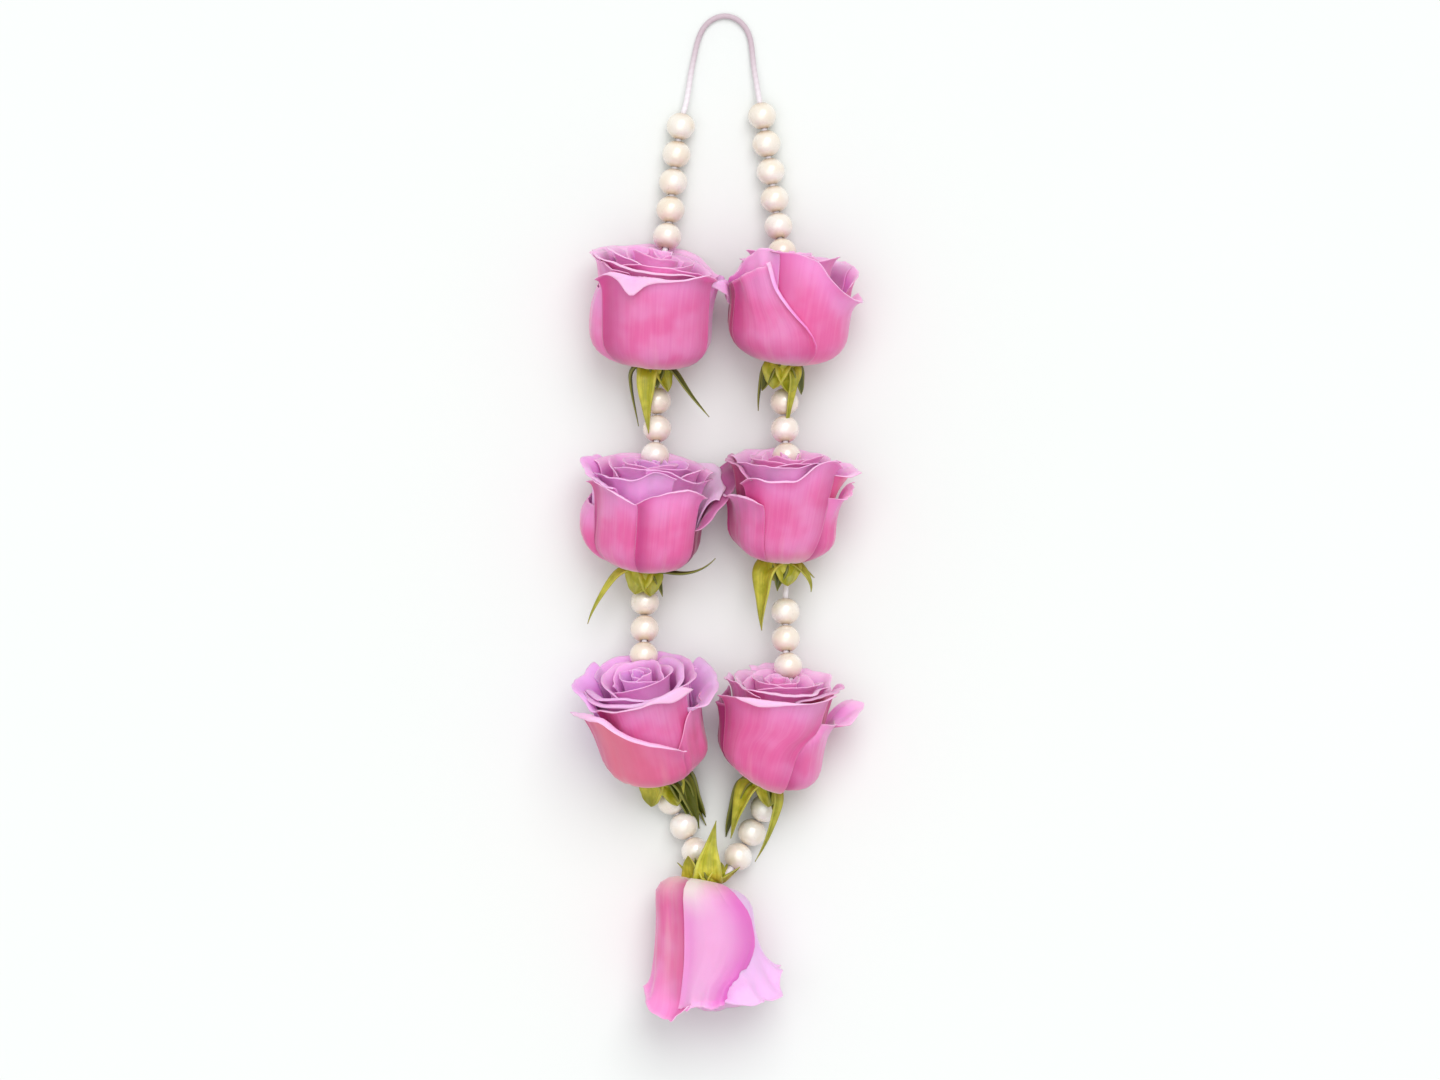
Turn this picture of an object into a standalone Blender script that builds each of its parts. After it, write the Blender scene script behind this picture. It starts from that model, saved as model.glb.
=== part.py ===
"""Rose garland necklace, lying on a surface: two strands of roses and pearl beads on one cord.

The necklace lies in the XY plane. +X is its right side and +Y runs from the single rose at its lower
end to the bare loop of cord at its top. +Z points away from the surface, which is the plane z = 0.
A rose is modelled upright about its own axis and then laid down. In a rose's own frame +Z runs from
the hip to the mouth, -Y is the side that faces up when it lies, and +X is its right side.
"""

import math
import random
from dataclasses import dataclass, field, replace

import bmesh
import bpy
import numpy as np
from mathutils import Matrix, Vector

MM = 0.001

# Driving dimensions, in metres.
PEARL = 0.0100  # diameter of a bead
PEARL_SIDES = 7
PEARL_BANDS = 4
PITCH = 0.0103  # distance between the centres of two beads in a row
BEAD_BORE = 0.0034
CORD = 0.0020  # diameter of the cord
CORD_STEP = 0.009  # distance between the points of the cord's line
CURVE_STEPS = 40  # points that the curve through the route takes between two of its own
CORD_BORE = 0.0029  # hole that the cord takes through a rose
WAY_SIDES = 6
ROSE_RADIUS = 0.0226  # belly of a rose of size 1
ROSE_HEIGHT = 0.0385  # foot of the petals to the rim of a rose of size 1
PETAL = 0.0008  # thickness of a petal
PETAL_FOOT = 0.0016  # radius at which a petal leaves the axis
LIP = 0.0075  # length of the part of a petal that rolls out
LAYER = 0.0013  # pitch of one petal behind the next
MERIDIAN = 30.0  # degrees between the creases of all petals, so that layers lie parallel
FLATTEN = 0.14  # share of its radius that a rose loses on the side it lies on
REST_CUT = 0.00035  # depth of the flat spot on that side
HIP_RADIUS = 0.0052
HIP_LENGTH = 0.0085
SEPAL = 0.0009  # thickness of a sepal
SEPAL_LIFT = 0.0002  # least height of a sepal above the surface
SEAT = 0.0003  # gap kept between pieces that touch
ROOM_SCALE = 1.07  # a faceted ball this much larger holds the whole of a bead's room

# Shape of a petal's section, as shares or angles that all petals have in common.
FOOT_REACH = 0.79  # radius gained per length of the petal's bowl
FOOT_RISE = 0.48  # height gained per length of the petal's bowl
FOOT_POWER = 1.8  # how long the bowl stays shallow before it turns up
CORNER_POWER = 2.6  # how squarely a petal's top drops to its corners
RIM_WAVE = 0.02  # rise and fall of a rim, as a share of the petal's length
RIM_TURNS = 5.0  # how often it does so
ROLL_START = 0.3  # share of the half width at which a rolled side starts

# The bud inside a rose: how deep its bowl lies behind the outermost petal, and its narrow top.
BUD_DEPTH = 1.4 * LAYER
BUD_WAIST = 3.5 * LAYER
BUD_TOP = 0.0040
BUD_TOP_SHARE = 0.6

# Inner petals of a rose, each a turn of the golden angle round from the one outside it.
GOLDEN = 137.5
INNER_PITCH = 1.9 * LAYER
INNER_SPREADS = (90.0, 90.0, 75.0, 75.0)
INNER_LIP = 24.0  # curl of the outermost of them, which fades to none inward
INNER_FLARE = (2.0, -10.0)  # lean of the outermost and of the innermost

# Shares of a petal's length at which it has a row of points.
OUTER_ROWS = (0.2, 0.45, 0.84, 1.0)
INNER_ROWS = (0.6, 0.84, 1.0)
BUD_ROWS = (0.0, 0.2, 0.45, 0.62)
PROFILE_STEPS = 48

# A hip's section, as shares of its radius and length, and its sepals.
HIP_SECTION = ((0.0, -1.0), (0.55, -0.94), (1.0, -0.42), (1.0, -0.04), (0.0, -0.04))
HIP_SIDES = 8
SEPAL_ROOT = (0.0029, -0.0016)  # radius and height at which a sepal leaves the axis
SEPAL_START = 80.0  # degrees between a sepal's root and the axis
SEPAL_ROWS = 4
SEPAL_HALF = 0.75  # half width at the root, as a share of the widest half
SEPAL_SWELL = 0.5
SEPAL_BELLY = 1.4  # how far up the swell ends, as one over the share of the length
SEPAL_TAPER = 0.8
SEPAL_TURN = (0.1, 0.45)  # shares of the length over which it turns back

TINY = 1e-7
FLAT_ANGLE = math.radians(2.0)  # faces that differ by less are joined


@dataclass
class Petal:
    """One petal. Angles are in degrees, round the rose's axis from the side that faces up."""

    facing: float
    spread: float
    height: float = 1.0
    lip: float = 60.0
    flare: float = 4.0
    left_drop: float = 0.16
    right_drop: float = 0.16
    left_lip: float = 0.2  # share of the lip's curl that reaches the corner
    right_lip: float = 0.2
    left_roll: float = 0.0
    right_roll: float = 0.0
    rows: tuple = OUTER_ROWS
    depth: float = 0.0  # how far it lies inside the belly radius


@dataclass
class Sepal:
    """One sepal. Facing is round the axis, bend is how far it turns back toward the stem."""

    facing: float
    length: float
    width: float
    bend: float = 120.0


@dataclass
class Rose:
    """One rose: where its petals' foot lies in plan, in millimetres, and how it lies, in degrees."""

    name: str
    foot: tuple
    lean: float  # turn of its axis to the left of +Y
    tilt: float  # rise of its mouth
    size: float
    seed: int
    outer: list
    sepals: list = field(default_factory=list)
    hip: float = 1.0  # length of its hip, as a share


ROSES = [
    Rose(
        "left_top", (-23.6, 241.5), -2.0, 15.0, 1.0, 11,
        outer=[
            Petal(5, 58, 0.94, lip=75, left_roll=0.002, right_roll=0.001),
            Petal(178, 75, 0.98, lip=30),
            Petal(-84, 62, 0.90, lip=95, left_roll=0.003),
            Petal(88, 62, 0.95, lip=95, left_roll=0.003),
            Petal(-30, 62, 1.03, lip=50),
            Petal(45, 62, 1.05, lip=50),
        ],
        sepals=[
            Sepal(-35, 24, 2.6, 165), Sepal(-5, 26, 4.6, 172), Sepal(40, 9, 3.4, 150),
            Sepal(75, 22, 2.6, 140), Sepal(180, 10, 3.4, 160),
        ],
    ),
    Rose(
        "right_top", (25.6, 241.5), -2.0, 14.0, 1.0, 12,
        outer=[
            Petal(-22, 60, 1.02, lip=55, left_drop=0.1, right_drop=0.42, right_roll=0.0035),
            Petal(150, 75, 0.98, lip=30),
            Petal(48, 64, 1.04, lip=80, left_drop=0.1, right_drop=0.2),
            Petal(-95, 58, 0.97, lip=70),
            Petal(215, 70, 1.0, lip=30),
            Petal(5, 62, 1.05, lip=45),
        ],
        sepals=[
            Sepal(-50, 13, 3.4, 165), Sepal(0, 9, 4.0, 150), Sepal(40, 25, 3.0, 172),
            Sepal(80, 14, 3.0, 150), Sepal(180, 10, 3.4, 160),
        ],
    ),
    Rose(
        "left_middle", (-26.8, 167.0), -5.0, 19.0, 1.0, 13,
        outer=[
            Petal(30, 60, 0.93, lip=60, left_drop=0.26, right_drop=0.06),
            Petal(180, 75, 0.98, lip=30),
            Petal(-44, 60, 0.93, lip=70, left_drop=0.06, right_drop=0.26),
            Petal(92, 50, 0.93, lip=100, flare=16),
            Petal(-100, 55, 0.80, lip=100, flare=8, left_roll=0.003),
            Petal(0, 62, 1.02, lip=55),
        ],
        sepals=[
            Sepal(-60, 23, 4.6, 118), Sepal(-10, 9, 4.4, 150), Sepal(30, 9, 4.0, 140),
            Sepal(78, 22, 2.8, 92), Sepal(180, 10, 3.4, 160),
        ],
    ),
    Rose(
        "right_middle", (25.6, 168.5), -3.0, 17.0, 1.0, 14,
        outer=[
            Petal(12, 46, 1.0, lip=55, left_drop=0.3, right_drop=0.05),
            Petal(180, 75, 0.98, lip=30),
            Petal(-55, 56, 0.93, lip=70),
            Petal(72, 52, 0.92, lip=85, flare=18, right_roll=0.004),
            Petal(-10, 60, 1.04, lip=50),
            Petal(100, 60, 1.04, lip=50),
        ],
        sepals=[
            Sepal(-45, 24, 5.4, 160), Sepal(0, 9, 4.6, 140), Sepal(50, 12, 3.4, 120),
            Sepal(85, 13, 2.6, 110), Sepal(180, 10, 3.4, 160),
        ],
    ),
    Rose(
        "left_low", (-21.0, 91.0), 13.0, 31.0, 1.02, 15, hip=0.74,
        outer=[
            Petal(-28, 54, 0.96, lip=75, flare=6),
            Petal(180, 75, 1.05, lip=30),
            Petal(52, 52, 0.94, lip=70, flare=6),
            Petal(105, 52, 1.02, lip=90, flare=10),
            Petal(-105, 56, 1.0, lip=95, flare=8),
            Petal(8, 62, 1.0, lip=60),
        ],
        sepals=[
            Sepal(-60, 9, 4.6, 150), Sepal(15, 9, 4.4, 150), Sepal(60, 22, 3.2, 160),
            Sepal(95, 24, 3.0, 165), Sepal(180, 10, 3.4, 160),
        ],
    ),
    Rose(
        "right_low", (22.0, 89.5), -13.0, 19.0, 1.0, 26, hip=0.7,
        outer=[
            Petal(-14, 56, 0.90, lip=80, flare=4),
            Petal(180, 75, 0.98, lip=30),
            Petal(52, 50, 0.97, lip=60, flare=6, left_drop=0.2),
            Petal(92, 44, 0.95, lip=70, flare=30),
            Petal(-88, 58, 0.96, lip=50),
            Petal(15, 62, 1.02, lip=60),
        ],
        sepals=[
            Sepal(-45, 22, 5.8, 165), Sepal(3, 9, 4.0, 150), Sepal(49, 30, 3.0, 168),
            Sepal(85, 20, 3.0, 160), Sepal(180, 10, 3.4, 160),
        ],
    ),
    Rose(
        "pendant", (-3.3, 50.0), 182.5, 4.0, 0.86, 17, hip=0.7,
        outer=[
            Petal(6, 58, 1.46, lip=25, left_drop=0.34, right_drop=0.1),
            Petal(180, 75, 1.36, lip=20),
            Petal(72, 52, 1.5, lip=40, flare=7),
            Petal(-70, 52, 1.36, lip=60, flare=18, left_lip=1.0),
            Petal(125, 60, 1.34, lip=20),
            Petal(0, 60, 1.34, lip=30),
        ],
        sepals=[
            Sepal(0, 22, 4.6, 172), Sepal(45, 10, 5.0, 165), Sepal(-50, 10, 4.0, 150),
            Sepal(120, 12, 3.4, 140), Sepal(-130, 12, 3.4, 140),
        ],
    ),
]

# The cord's way, in millimetres, from the hip of the lowest rose up the left strand, round the bare
# loop and down the right strand to that hip again.
ROUTE = [
    (-5.4, 43.0, 14.6),
    (-5.2, 50.0, 13.6),
    (-6.2, 57.5, 10.5),
    (-9.2, 65.0, 7.4),
    (-13.2, 73.0, 6.2),
    (-17.4, 81.0, 6.4),
    (-19.8, 87.0, 8.2),
    (-21.6, 94.0, 12.0),
    (-24.6, 106.0, 17.6),
    (-26.8, 119.0, 20.0),
    (-27.0, 133.0, 18.4),
    (-26.6, 144.0, 14.0),
    (-26.6, 154.0, 10.8),
    (-26.6, 167.5, 13.6),
    (-25.2, 182.0, 17.0),
    (-23.8, 196.0, 18.8),
    (-22.9, 206.5, 17.0),
    (-22.0, 217.0, 13.8),
    (-22.2, 227.0, 12.0),
    (-23.2, 241.0, 14.6),
    (-22.6, 258.0, 17.2),
    (-21.0, 272.0, 15.6),
    (-18.6, 285.6, 10.0),
    (-17.3, 296.4, 7.4),
    (-16.4, 306.8, 6.0),
    (-15.0, 318.0, 5.3),
    (-13.4, 328.7, 5.3),
    (-11.4, 336.5, 4.8),
    (-9.6, 348.0, 2.4),
    (-6.8, 360.0, 1.2),
    (-2.8, 365.6, 1.2),
    (2.9, 367.4, 1.2),
    (8.2, 365.2, 1.2),
    (11.6, 359.6, 1.2),
    (13.2, 348.0, 2.4),
    (15.2, 336.0, 4.9),
    (16.2, 330.2, 5.3),
    (17.8, 319.8, 5.3),
    (19.3, 309.6, 5.8),
    (20.8, 299.6, 6.8),
    (22.2, 288.8, 9.0),
    (24.4, 273.0, 15.6),
    (25.8, 258.0, 17.6),
    (25.2, 241.0, 14.8),
    (24.2, 228.0, 12.0),
    (24.2, 217.5, 13.8),
    (24.8, 207.5, 17.0),
    (25.6, 196.5, 18.8),
    (26.0, 183.0, 17.4),
    (25.2, 168.0, 14.2),
    (24.5, 154.0, 11.4),
    (24.6, 144.0, 13.6),
    (24.8, 134.5, 16.6),
    (26.6, 121.0, 19.4),
    (25.4, 105.0, 17.6),
    (22.2, 90.5, 13.2),
    (18.4, 81.0, 9.4),
    (13.8, 72.0, 6.0),
    (8.4, 62.0, 5.6),
    (3.8, 55.0, 9.0),
    (-0.4, 50.0, 13.4),
    (-1.2, 43.0, 14.6),
]

# Rows of beads: the place in plan of the first bead, in millimetres, and how many follow up the cord.
PEARL_ROWS = {
    "left_foot": (-8.2, 62.6, 3),
    "left_low": (-26.6, 134.0, 3),
    "left_mid": (-23.2, 206.8, 3),
    "left_top": (-18.6, 286.5, 5),
    "right_top": (16.0, 330.6, 6),
    "right_mid": (23.8, 226.5, 3),
    "right_low": (24.5, 149.8, 3),
    "right_foot": (16.9, 78.0, 3),
}


def smooth(x):
    """Ease from 0 to 1 as x runs from 0 to 1."""
    x = min(1.0, max(0.0, x))
    return x * x * (3.0 - 2.0 * x)


def petal_column(petal, u, size, phase):
    """Points (radius, height) of the petal's middle surface at one share u of its width."""
    belly = ROSE_RADIUS * size - petal.depth
    bowl = (belly - PETAL_FOOT) / FOOT_REACH
    length = bowl + petal.height * ROSE_HEIGHT * size - bowl * FOOT_RISE
    drop = petal.right_drop if u > 0 else petal.left_drop
    wave = RIM_WAVE * math.sin(RIM_TURNS * u + phase)
    length *= 1.0 - drop * abs(u) ** CORNER_POWER + wave
    corner = petal.right_lip if u > 0 else petal.left_lip
    lip = math.radians(petal.lip) * (1.0 + (corner - 1.0) * abs(u) ** 3)
    step = length / PROFILE_STEPS
    marks = [round(row * PROFILE_STEPS) for row in petal.rows]
    radius, height = PETAL_FOOT, 0.0
    points = []
    for index in range(PROFILE_STEPS + 1):
        if index in marks:
            points.append((radius, height, index / PROFILE_STEPS))
        at = index * step
        angle = math.pi / 2 * max(0.0, 1.0 - (at / bowl) ** FOOT_POWER)
        angle += math.radians(petal.flare) * smooth((at - bowl) / (length - bowl))
        angle += lip * smooth((at - length + LIP) / LIP)
        radius += step * math.sin(angle)
        height += step * math.cos(angle)
    return points


def petal_grid(petal, size, rng):
    """Rows of points of the petal's middle surface, in the rose's own frame."""
    phase = rng.uniform(0.0, 2.0 * math.pi)
    first = round((petal.facing - petal.spread) / MERIDIAN) + rng.uniform(-0.06, 0.06)
    columns = round(2.0 * petal.spread / MERIDIAN)
    grid = []
    for column in range(columns + 1):
        u = 2.0 * column / columns - 1.0
        theta = math.radians((first + column) * MERIDIAN)
        roll = petal.right_roll if u > 0 else petal.left_roll
        line = []
        for radius, height, share in petal_column(petal, u, size, phase):
            radius += roll * smooth((abs(u) - ROLL_START) / (1.0 - ROLL_START)) * share**2
            line.append(Vector((radius * math.sin(theta), -radius * math.cos(theta), height)))
        grid.append(line)
    return grid


def flattened(point):
    """The rose is pressed a little flat on the side that it lies on."""
    radius = math.hypot(point.x, point.y)
    down = max(0.0, point.y / radius) if radius > TINY else 0.0
    share = 1.0 - FLATTEN * down**2
    return Vector((point.x * share, point.y * share, point.z))


def sheet_solid(bm, grid, thickness):
    """A closed sheet of even thickness round a grid of points, split alike on both faces."""
    columns, rows = len(grid), len(grid[0])
    front, back = [], []
    for i in range(columns):
        near, far = [], []
        for j in range(rows):
            across = grid[min(i + 1, columns - 1)][j] - grid[max(i - 1, 0)][j]
            along = grid[i][min(j + 1, rows - 1)] - grid[i][max(j - 1, 0)]
            normal = across.cross(along)
            normal.normalize()
            near.append(bm.verts.new(grid[i][j] + normal * thickness / 2))
            far.append(bm.verts.new(grid[i][j] - normal * thickness / 2))
        front.append(near)
        back.append(far)
    for i in range(columns - 1):
        for j in range(rows - 1):
            for side, order in ((front, 1), (back, -1)):
                a, b, c, d = side[i][j], side[i + 1][j], side[i + 1][j + 1], side[i][j + 1]
                bm.faces.new((a, b, c)[::order])
                bm.faces.new((a, c, d)[::order])
    edge = [(i, 0) for i in range(columns)]
    edge += [(columns - 1, j) for j in range(1, rows)]
    edge += [(i, rows - 1) for i in range(columns - 2, -1, -1)]
    edge += [(0, j) for j in range(rows - 2, 0, -1)]
    for (i, j), (k, m) in zip(edge, edge[1:] + edge[:1]):
        bm.faces.new((front[i][j], back[i][j], back[k][m], front[k][m]))


def new_object(name, bm, material=None):
    """An object made from a bmesh, in the scene's own collection."""
    bmesh.ops.recalc_face_normals(bm, faces=bm.faces)
    mesh = bpy.data.meshes.new(name)
    bm.to_mesh(mesh)
    bm.free()
    thing = bpy.data.objects.new(name, mesh)
    bpy.context.scene.collection.objects.link(thing)
    if material:
        mesh.materials.append(material)
    return thing


def apply_boolean(thing, operation, others):
    """Join or cut an object with a collection of others, which are then removed."""
    group = bpy.data.collections.new("Operands")
    bpy.context.scene.collection.children.link(group)
    for other in others:
        bpy.context.scene.collection.objects.unlink(other)
        group.objects.link(other)
    modifier = thing.modifiers.new(operation.title(), "BOOLEAN")
    modifier.operation = operation
    modifier.operand_type = "COLLECTION"
    modifier.collection = group
    modifier.solver = "EXACT"
    graph = bpy.context.evaluated_depsgraph_get()
    joined = bpy.data.meshes.new_from_object(thing.evaluated_get(graph))
    thing.modifiers.clear()
    thing.data = joined
    for other in others:
        bpy.data.objects.remove(other)
    bpy.data.collections.remove(group)


def keep_main_body(thing):
    """Fill hollows that the union sealed and drop scraps that a cut left loose."""
    bm = bmesh.new()
    bm.from_mesh(thing.data)
    bodies, waiting = [], set(bm.faces)
    while waiting:
        front = [waiting.pop()]
        body = set(front)
        while front:
            face = front.pop()
            for edge in face.edges:
                for other in edge.link_faces:
                    if other in waiting:
                        waiting.discard(other)
                        body.add(other)
                        front.append(other)
        bodies.append(body)
    bodies.sort(key=len)
    loose = [face for body in bodies[:-1] for face in body]
    bmesh.ops.delete(bm, geom=loose, context="FACES")
    bmesh.ops.dissolve_limit(bm, angle_limit=FLAT_ANGLE, verts=bm.verts, edges=bm.edges)
    bm.to_mesh(thing.data)
    bm.free()


def ring_of(bm, radius, height, sides):
    """A ring of corners about Z, or the one corner that it shrinks to on the axis."""
    if radius < TINY:
        return [bm.verts.new((0.0, 0.0, height))]
    turns = [2.0 * math.pi * side / sides for side in range(sides)]
    return [bm.verts.new((radius * math.cos(turn), radius * math.sin(turn), height)) for turn in turns]


def turned(bm, profile, sides):
    """A closed solid turned about Z from (radius, height) points that end on the axis."""
    rings = [ring_of(bm, radius, height, sides) for radius, height in profile]
    for low, high in zip(rings, rings[1:]):
        for side in range(sides):
            after = (side + 1) % sides
            corners = [low[side % len(low)], low[after % len(low)], high[after % len(high)]]
            corners.append(high[side % len(high)])
            unique = [corner for index, corner in enumerate(corners) if corner not in corners[:index]]
            bm.faces.new(unique)


def run_lengths(points):
    """Distance along a run of points at each of them."""
    runs = [0.0]
    for first, second in zip(points, points[1:]):
        runs.append(runs[-1] + (second - first).length)
    return runs


def cord_points():
    """Points along the cord, read from a smooth curve through its route."""
    route = [Vector(point) * MM for point in ROUTE]
    ends = [2 * route[0] - route[1]] + route + [2 * route[-1] - route[-2]]
    dense = []
    for before, start, stop, after in zip(ends, ends[1:], ends[2:], ends[3:]):
        for part in range(CURVE_STEPS):
            t = part / CURVE_STEPS
            dense.append(
                0.5
                * (
                    2 * start
                    + (stop - before) * t
                    + (2 * before - 5 * start + 4 * stop - after) * t * t
                    + (3 * start - before - 3 * stop + after) * t**3
                )
            )
    dense.append(route[-1])
    runs = run_lengths(dense)
    count = round(runs[-1] / CORD_STEP)
    marks = np.linspace(0.0, runs[-1], count + 1)
    axes = [np.interp(marks, runs, [point[axis] for point in dense]) for axis in range(3)]
    return [Vector(point) for point in zip(*axes)]


def cord_way(points):
    """A closed tube a little wider and longer than the cord, for cutting its way."""
    over = SEAT / CORD_STEP
    first = points[0] + (points[0] - points[1]) * over
    last = points[-1] + (points[-1] - points[-2]) * over
    line = [first] + points[1:-1] + [last]
    bm = bmesh.new()
    rings = []
    for index, point in enumerate(line):
        ahead = (line[min(index + 1, len(line) - 1)] - line[max(index - 1, 0)]).normalized()
        across = ahead.cross(Vector((0.0, 0.0, 1.0))).normalized()
        up = across.cross(ahead)
        ring = []
        for side in range(WAY_SIDES):
            turn = 2.0 * math.pi * (side + 0.5) / WAY_SIDES
            arm = across * math.cos(turn) + up * math.sin(turn)
            ring.append(bm.verts.new(point + arm * CORD_BORE / 2))
        rings.append(ring)
    for low, high in zip(rings, rings[1:]):
        for side in range(WAY_SIDES):
            after = (side + 1) % WAY_SIDES
            bm.faces.new((low[side], low[after], high[after], high[side]))
    bm.faces.new(rings[0][::-1])
    bm.faces.new(rings[-1])
    return new_object("Way", bm)


def rose_frame(rose, height=0.0):
    """World matrix of a rose's own frame, with its foot at the given height."""
    lean, tilt = math.radians(rose.lean), math.radians(rose.tilt)
    axis = Vector((-math.sin(lean) * math.cos(tilt), math.cos(lean) * math.cos(tilt), math.sin(tilt)))
    right = Vector((math.cos(lean), math.sin(lean), 0.0))
    away = axis.cross(right)
    turn = Matrix((right, away, axis)).transposed().to_4x4()
    return Matrix.Translation((rose.foot[0] * MM, rose.foot[1] * MM, height)) @ turn


def rose_petals(rose, rng):
    """The rose's outer petals, then its inner ones on a tightening spiral."""
    petals = []
    for index, petal in enumerate(rose.outer):
        rows = petal.rows if index < 3 else petal.rows[1:]
        petals.append(replace(petal, depth=index * LAYER, rows=rows))
    turn = rng.uniform(0.0, 360.0)
    for index, spread in enumerate(INNER_SPREADS):
        share = index / (len(INNER_SPREADS) - 1)
        petals.append(
            Petal(
                facing=turn + GOLDEN * index,
                spread=spread,
                depth=len(rose.outer) * LAYER + index * INNER_PITCH,
                height=rose.outer[-1].height,
                lip=INNER_LIP * (1.0 - share),
                flare=INNER_FLARE[0] + (INNER_FLARE[1] - INNER_FLARE[0]) * share,
                rows=INNER_ROWS,
            )
        )
    return petals


def rose_grids(rose):
    """The grids of all petals of a rose, pressed flat below, in the rose's own frame."""
    rng = random.Random(rose.seed)
    grids = []
    for petal in rose_petals(rose, rng):
        grid = petal_grid(petal, rose.size, rng)
        grids.append([[flattened(point) for point in line] for line in grid])
    return grids


def foot_height(rose, grids):
    """Height of the rose's foot at which its lowest petal just sinks in by the rest cut."""
    frame = rose_frame(rose)
    lowest = min((frame @ point).z for grid in grids for line in grid for point in line)
    return -lowest + PETAL / 2 - REST_CUT


def bud(rose):
    """The solid middle of a rose, whose bowl lies just behind the outermost petals."""
    side = petal_column(Petal(0, 0, rows=BUD_ROWS, depth=BUD_DEPTH), 0.0, rose.size, 0.0)
    profile = [(0.0, 0.0)] + [(radius, height) for radius, height, _ in side]
    waist, height = profile[-1][0] - BUD_WAIST, profile[-1][1]
    profile[-1] = (waist, height)
    profile += [(waist * BUD_TOP_SHARE, height + BUD_TOP), (0.0, height + BUD_TOP)]
    bm = bmesh.new()
    turned(bm, profile, round(360 / MERIDIAN))
    return bm


def bloom(rose, material, way, pearls):
    """One rose's petals and the bud that they stand on, fused in one body."""
    grids = rose_grids(rose)
    frame = rose_frame(rose, foot_height(rose, grids))
    petals = []
    for grid in grids:
        bm = bmesh.new()
        sheet_solid(bm, grid, PETAL)
        bm.transform(frame)
        petals.append(new_object("Petal", bm))
    bm = bud(rose)
    bm.transform(frame)
    body = new_object(f"bloom_{rose.name}", bm, material)
    apply_boolean(body, "UNION", petals)
    near = [place for place in pearls if (place - frame.translation).length < 2.0 * ROSE_HEIGHT]
    apply_boolean(body, "DIFFERENCE", [way(), surface_block()] + [pearl_room(place) for place in near])
    keep_main_body(body)
    return frame


def surface_block():
    """A block whose top is the surface that the necklace lies on."""
    bm = bmesh.new()
    bmesh.ops.create_cube(bm, size=1.0)
    bm.transform(Matrix.Translation((0.0, 0.2, -0.05)) @ Matrix.Diagonal((0.6, 0.9, 0.1, 1.0)))
    return new_object("Surface", bm)


def pearl_room(place):
    """A ball that keeps the petals clear of a bead."""
    bm = bmesh.new()
    bmesh.ops.create_icosphere(bm, subdivisions=2, radius=(PEARL / 2 + SEAT) * ROOM_SCALE)
    bm.transform(Matrix.Translation(place))
    return new_object("Room", bm)


def pearl_spots(points):
    """Name, place and direction of each bead, stepped along the cord by the pitch."""
    runs = run_lengths(points)

    def along(distance):
        return Vector([np.interp(distance, runs, [point[axis] for point in points]) for axis in range(3)])

    spots = []
    marks = np.arange(0.0, runs[-1], MM / 2)
    for name, (x, y, count) in PEARL_ROWS.items():
        first = min(marks, key=lambda mark: (along(mark).xy - Vector((x, y)) * MM).length)
        for index in range(count):
            at = first + index * PITCH
            low, high = along(at - PEARL * 0.4), along(at + PEARL * 0.4)
            middle = (low + high + along(at) * 2) / 4
            spots.append((f"pearl_{name}_{index + 1}", middle, (high - low).normalized()))
    return spots


def pearl(name, place, ahead, material):
    """A round bead with a straight hole."""
    hole = math.asin(BEAD_BORE / PEARL)
    bm = bmesh.new()
    rings = []
    for band in range(PEARL_BANDS + 1):
        angle = hole + (math.pi - 2 * hole) * band / PEARL_BANDS
        rings.append(ring_of(bm, PEARL / 2 * math.sin(angle), PEARL / 2 * math.cos(angle), PEARL_SIDES))
    for low, high in zip(rings, rings[1:] + rings[:1]):
        for side in range(PEARL_SIDES):
            after = (side + 1) % PEARL_SIDES
            bm.faces.new((low[side], low[after], high[after], high[side]))
    thing = new_object(name, bm, material)
    thing.location = place
    thing.rotation_mode = "QUATERNION"
    thing.rotation_quaternion = ahead.to_track_quat("Z", "X")
    return thing


def sepal_grid(sepal):
    """A narrow blade that leaves the top of the hip and turns back along the stem."""
    turn = math.radians(sepal.facing)
    out = Vector((math.sin(turn), -math.cos(turn), 0.0))
    across = Vector((math.cos(turn), math.sin(turn), 0.0))
    step = sepal.length * MM / SEPAL_ROWS
    radius, height = SEPAL_ROOT
    left, right = [], []
    for row in range(SEPAL_ROWS + 1):
        share = row / SEPAL_ROWS
        swell = SEPAL_SWELL * math.sin(math.pi * min(1.0, share * SEPAL_BELLY))
        half = sepal.width * MM / 2 * (SEPAL_HALF + swell) * (1.0 - SEPAL_TAPER * share**3)
        middle = out * radius + Vector((0.0, 0.0, height))
        left.append(middle - across * half)
        right.append(middle + across * half)
        back = smooth((share + SEPAL_TURN[0]) / SEPAL_TURN[1])
        angle = math.radians(SEPAL_START + (sepal.bend - SEPAL_START) * back)
        radius += step * math.sin(angle)
        height += step * math.cos(angle)
    return [left, right]


def lifted(left, right):
    """Both edges of a sepal, raised row by row so that neither sinks into the surface."""
    for one, other in zip(left, right):
        lift = max(0.0, SEPAL_LIFT + SEPAL / 2 - min(one.z, other.z))
        one.z += lift
        other.z += lift
    return [left, right]


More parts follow.
